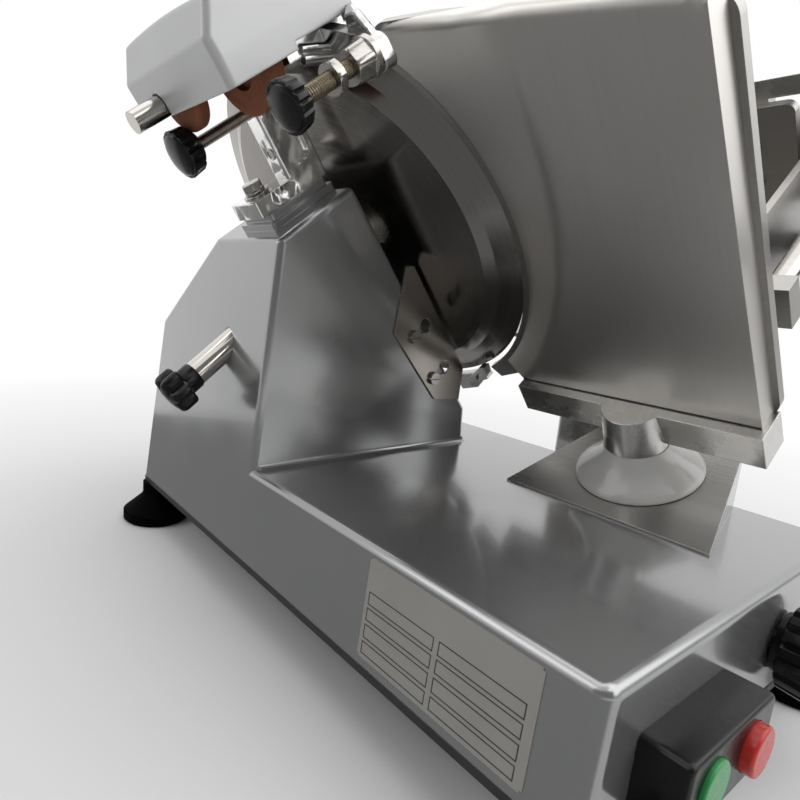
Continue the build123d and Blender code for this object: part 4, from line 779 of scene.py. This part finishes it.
def outline_reach(corners, angle):
    """Distance from the blade's centre to the cover's outline."""
    parallel = 1e-9
    slack = 1e-6
    way = Vector((cos(angle), sin(angle)))
    reach = HOLLOW_START
    for first, second in zip(corners, corners[1:]):
        side = second - first
        across = way.x * side.y - way.y * side.x
        if abs(across) < parallel:
            continue
        distance = (first.x * side.y - first.y * side.x) / across
        share = (first.x * way.y - first.y * way.x) / across
        if -slack <= share <= 1 + slack:
            reach = max(reach, distance)
    return reach


def cover_level(y, u, top_edges):
    """Place of the cover's back along the blade's axis."""
    level = COVER_SEAM + (COVER_BACK - COVER_SEAM) * hollow_depth(hollow_share(y, u))
    point = Vector((y, u))
    inside = min(edge_distance(point, first, second) for first, second in top_edges)
    if inside < COVER_EDGE:
        level += COVER_EDGE - sqrt(COVER_EDGE ** 2 - (COVER_EDGE - inside) ** 2)
    return min(level, COVER_SEAM)


def formed_cover():
    """The cover as rays from the blade's centre, from the hollow out to the outline."""
    angle_steps = 120
    face_steps = 52
    edge_steps = 8
    weld = 0.002
    sliver = 0.001
    foot_end = (-sqrt(HOLLOW_START ** 2 - COVER_FOOT ** 2), COVER_FOOT)
    corners = [Vector(spot) for spot in (foot_end, (COVER_LEFT, COVER_FOOT), *COVER_TOP)]
    top_edges = list(zip(corners[2:], corners[3:]))
    corner_angles = [atan2(corner.y, corner.x) % (2 * pi) for corner in corners]
    start = corner_angles[-1]
    turn = corner_angles[0] - start
    even_angles = {start + turn * step / angle_steps for step in range(angle_steps + 1)}
    builder = bmesh.new()
    rays = []
    for angle in sorted(even_angles | set(corner_angles)):
        reach = outline_reach(corners, angle)
        flat = max(reach - COVER_EDGE, HOLLOW_START)
        distances = [HOLLOW_START + (flat - HOLLOW_START) * step / face_steps for step in range(face_steps)]
        for step in range(edge_steps + 1):
            distances.append(flat + (reach - flat) * sin(0.5 * pi * step / edge_steps))
        ray = []
        for distance in distances:
            y = distance * cos(angle)
            u = distance * sin(angle)
            ray.append(builder.verts.new((y, u, cover_level(y, u, top_edges))))
        ray.append(builder.verts.new((reach * cos(angle), reach * sin(angle), COVER_SEAM)))
        rays.append(ray)
    for here, after in zip(rays, rays[1:]):
        for index in range(len(here)):
            following = (index + 1) % len(here)
            builder.faces.new((here[index], here[following], after[following], after[index]))
    bmesh.ops.remove_doubles(builder, verts=builder.verts, dist=weld)
    bmesh.ops.dissolve_degenerate(builder, edges=builder.edges, dist=sliver)
    return builder


new_piece("formed_back_cover", formed_cover(), blade_frame, "gauge", "satin_steel", "gauge_cover")

# Dark strip at the cover's foot: painted shadow of the gap there, in dark paint
shadow_gap_form = bmesh.new()
shadow_gap_low = (SHADOW_GAP_ENDS[0], COVER_FOOT, COVER_BACK - SHADOW_GAP_PROUD)
shadow_gap_high = (SHADOW_GAP_ENDS[1], COVER_FOOT + SHADOW_GAP_HEIGHT, COVER_SEAM)
block(shadow_gap_form, shadow_gap_low, shadow_gap_high)
new_piece("foot_shadow_gap", shadow_gap_form, blade_frame, "gauge", "dark_paint")

# Nuts on the adjusting screw
screw_bore = ADJUST_RADIUS + NUT_PLAY
nut_form = round_form(bored(six_sided(THIN_NUT_SIX), screw_bore), ring=True)
long_start = EAR_BACK - LONG_NUT - THIN_NUT_START
long_rows = bored([*six_sided(LONG_NUT_SIX), *LONG_NUT_COLLAR], screw_bore)
round_form([(height + long_start, radius) for height, radius in long_rows], ring=True, builder=nut_form)
new_piece("adjuster_nuts", nut_form, on_facet(THIN_NUT_START, *ADJUST_SPOT, 1),
          "sharpener", "plain_steel", "adjust_nuts")


def washer_set():
    """The bracket's flat washer, with the split spring washer on it."""
    builder = round_form(bored(FLAT_WASHER, WASHER_BORE), ring=True)
    sections = []
    for step in range(SPRING_STEPS + 1):
        angle = SPRING_SPLIT + (2 * pi - SPRING_SPLIT) * step / SPRING_STEPS
        lift = WASHER_THICKNESS + SPRING_RISE * step / SPRING_STEPS
        section = []
        for height, distance in SPRING_SECTION:
            spot = (distance * cos(angle), distance * sin(angle), lift + height)
            section.append(builder.verts.new(spot))
        sections.append(section)
    for here, after in zip(sections, sections[1:]):
        for index in range(len(here)):
            following = (index + 1) % len(here)
            builder.faces.new((here[index], here[following], after[following], after[index]))
    builder.faces.new(sections[0])
    builder.faces.new(sections[-1])
    return builder


# Bolt, washers and rivet of the sharpener's bracket
bolt_place = facet_frame @ Matrix.Translation((*BOLT_SPOT, BRACKET_TOP))
new_piece("spring_and_flat_washer", washer_set(), bolt_place, "base", "plain_steel", "bracket_washers")
bolt_form = round_form([*BOLT_SHANK, *six_sided(BOLT_SIX), *BOLT_FACE])
new_piece("hex_bolt", bolt_form, bolt_place, "base", "plain_steel", "bracket_bolt")
new_piece("bracket_rivet", round_form(RIVET), on_facet(*RIVET_SPOT, -1), "base", "plain_steel")

# Web of the casting between the sharpener's ear and the hood
web_form = bmesh.new()
web_corners = [(a, d, b) for a in WEB_A for d, b in WEB_OUTLINE]
arm_corners = [(a, d, b) for a in WEB_A for d, b in ARM_NEAR] + list(ARM_FAR)
for corners in (web_corners, arm_corners):
    points = [web_form.verts.new(corner) for corner in corners]
    shell = bmesh.ops.convex_hull(web_form, input=points)
    bmesh.ops.delete(web_form, geom=shell["geom_interior"], context="VERTS")
bmesh.ops.bevel(web_form, geom=web_form.edges[:], offset=WEB_ROUNDING, segments=2, affect="EDGES")
new_piece("ear_web", web_form, facet_frame, "sharpener", slot_of_node["sharpener_body"],
          material=own_materials["sharpener_body"])

# Skirt: a thin milky bell round the gauge's post
new_piece("milky_skirt", round_form(SKIRT, ring=True), post_frame, "gauge", "white_plastic", "post_skirt")

# Plate on the base's side, with nothing on it but ruled boxes
plate_width = PLATE_Y[1] - PLATE_Y[0]
plate_height = (PLATE_Z[1] - PLATE_Z[0]) / cos(DRAFT)
plate_frame = axes(
    machine(PLATE_Z[0] * tan(DRAFT), PLATE_Y[1], PLATE_Z[0]),
    Vector((0, -1, 0)),
    Vector((sin(DRAFT), 0, cos(DRAFT))),
    Vector((-cos(DRAFT), 0, sin(DRAFT))),
)
plate_form = bmesh.new()
block(plate_form, (0, 0, 0), (plate_width, plate_height, PLATE_THICKNESS))
corner_edges = []
for edge in plate_form.edges:
    if abs(edge.verts[0].co.z - edge.verts[1].co.z) > PLATE_THICKNESS / 2:
        corner_edges.append(edge)
bmesh.ops.bevel(plate_form, geom=corner_edges, offset=PLATE_CORNER, segments=4, affect="EDGES")
new_piece("rating_plate", plate_form, plate_frame, "base", "white_plastic", material=plate_material)

rule_form = bmesh.new()
rule_low = PLATE_THICKNESS
rule_high = PLATE_THICKNESS + RULE_HEIGHT
for left_share, right_share in RULE_COLUMNS:
    left = left_share * plate_width
    right = right_share * plate_width
    for top_share, bottom_share in RULE_ROWS:
        bottom = (1 - bottom_share) * plate_height
        top = (1 - top_share) * plate_height
        for y in (bottom, top - RULE_WIDTH):
            block(rule_form, (left, y, rule_low), (right, y + RULE_WIDTH, rule_high))
        side_low = bottom + RULE_WIDTH
        side_high = top - RULE_WIDTH
        for x in (left, right - RULE_WIDTH):
            block(rule_form, (x, side_low, rule_low), (x + RULE_WIDTH, side_high, rule_high))
new_piece("plate_rules", rule_form, plate_frame, "base", "dark_paint", material=ink_material)


# Stage: floor, cards, camera and soft studio light

def seen_ray(tree):
    """1 for rays that look straight, in a mirror or through glass at the stage."""
    path = tree.nodes.new("ShaderNodeLightPath")
    total = path.outputs["Is Camera Ray"]
    for name in ("Is Glossy Ray", "Is Transmission Ray"):
        larger = tree.nodes.new("ShaderNodeMath")
        larger.operation = "MAXIMUM"
        tree.links.new(total, larger.inputs[0])
        tree.links.new(path.outputs[name], larger.inputs[1])
        total = larger.outputs[0]
    return total


def floor_material():
    """A pale floor that keeps the shadow near the object and runs into the white background."""
    s = Shader("pale floor")
    s.set(Base_Color=(FLOOR_GREY, FLOOR_GREY, FLOOR_GREY, 1), Roughness=0.9, Specular_IOR_Level=0.0)
    far = s.spread(s.radius((0, 0, 0), upright), 0, 1, *FLOOR_FADE)
    white = s.add("ShaderNodeEmission")
    mixed = s.add("ShaderNodeMixShader")
    s.link(s.math("MULTIPLY", far, seen_ray(s.tree)), mixed.inputs[0])
    s.link(s.surface.outputs[0], mixed.inputs[1])
    s.link(white.outputs[0], mixed.inputs[2])
    return s.show(mixed)


def stage_piece(name, builder, material):
    """Puts a bmesh into the scene as a part of the stage."""
    mesh = bpy.data.meshes.new(name)
    builder.to_mesh(mesh)
    builder.free()
    piece = bpy.data.objects.new(name, mesh)
    scene.collection.objects.link(piece)
    piece.data.materials.append(material)
    return piece


def turned(spot, target):
    """Turn of a card or lamp that faces a point."""
    return (Vector(target) - Vector(spot)).to_track_quat("-Z", "Y")


def card(name, spot, target, size, level):
    """A grey card that only polished surfaces see, as in a product studio."""
    builder = bmesh.new()
    bmesh.ops.create_grid(builder, size=0.5, matrix=Matrix.Diagonal((*size, 1, 1)))
    s = Shader(name)
    glow = s.add("ShaderNodeEmission")
    glow.inputs["Color"].default_value = (level, level, level, 1)
    s.show(glow)
    s.material.cycles.emission_sampling = "NONE"
    piece = stage_piece(name, builder, s.material)
    piece.matrix_world = Matrix.Translation(spot) @ turned(spot, target).to_matrix().to_4x4()
    piece.visible_camera = False
    piece.visible_diffuse = False
    piece.visible_shadow = False


def lamp(name, spot, target, size, power):
    """A rectangular lamp that faces a point."""
    data = bpy.data.lights.new(name, "AREA")
    data.shape = "RECTANGLE"
    data.size, data.size_y = size
    data.energy = power
    light = bpy.data.objects.new(name, data)
    scene.collection.objects.link(light)
    light.location = spot
    light.rotation_mode = "QUATERNION"
    light.rotation_quaternion = turned(spot, target)


floor_form = bmesh.new()
bmesh.ops.create_circle(floor_form, cap_ends=True, segments=96, radius=FLOOR_RADIUS)
stage_piece("floor", floor_form, floor_material())
for name, values in CARDS.items():
    card(name, *values)

camera_data = bpy.data.cameras.new("photo_camera")
camera_data.lens = CAMERA_LENS
camera_data.sensor_width = 36.0
camera_data.shift_x, camera_data.shift_y = CAMERA_SHIFT
camera_data.clip_start = 0.005
camera = bpy.data.objects.new("photo_camera", camera_data)
scene.collection.objects.link(camera)
view = Matrix((CAMERA_RIGHT, -CAMERA_DOWN, -CAMERA_FORWARD)).transposed().to_4x4()
camera.matrix_world = Matrix.Translation(machine(*CAMERA_SPOT)) @ view
scene.camera = camera

for name, values in LAMPS.items():
    lamp(name, *values)

# The world lights the object with an even grey and is seen as white
world = bpy.data.worlds.new("studio")
scene.world = world
world.use_nodes = True
tree = world.node_tree
background = tree.nodes["Background"]
background.inputs["Color"].default_value = (WORLD_GREY, WORLD_GREY, WORLD_GREY, 1)
white = tree.nodes.new("ShaderNodeBackground")
white.inputs["Color"].default_value = (1, 1, 1, 1)
mixed = tree.nodes.new("ShaderNodeMixShader")
tree.links.new(seen_ray(tree), mixed.inputs[0])
tree.links.new(background.outputs[0], mixed.inputs[1])
tree.links.new(white.outputs[0], mixed.inputs[2])
tree.links.new(mixed.outputs[0], tree.nodes["World Output"].inputs["Surface"])
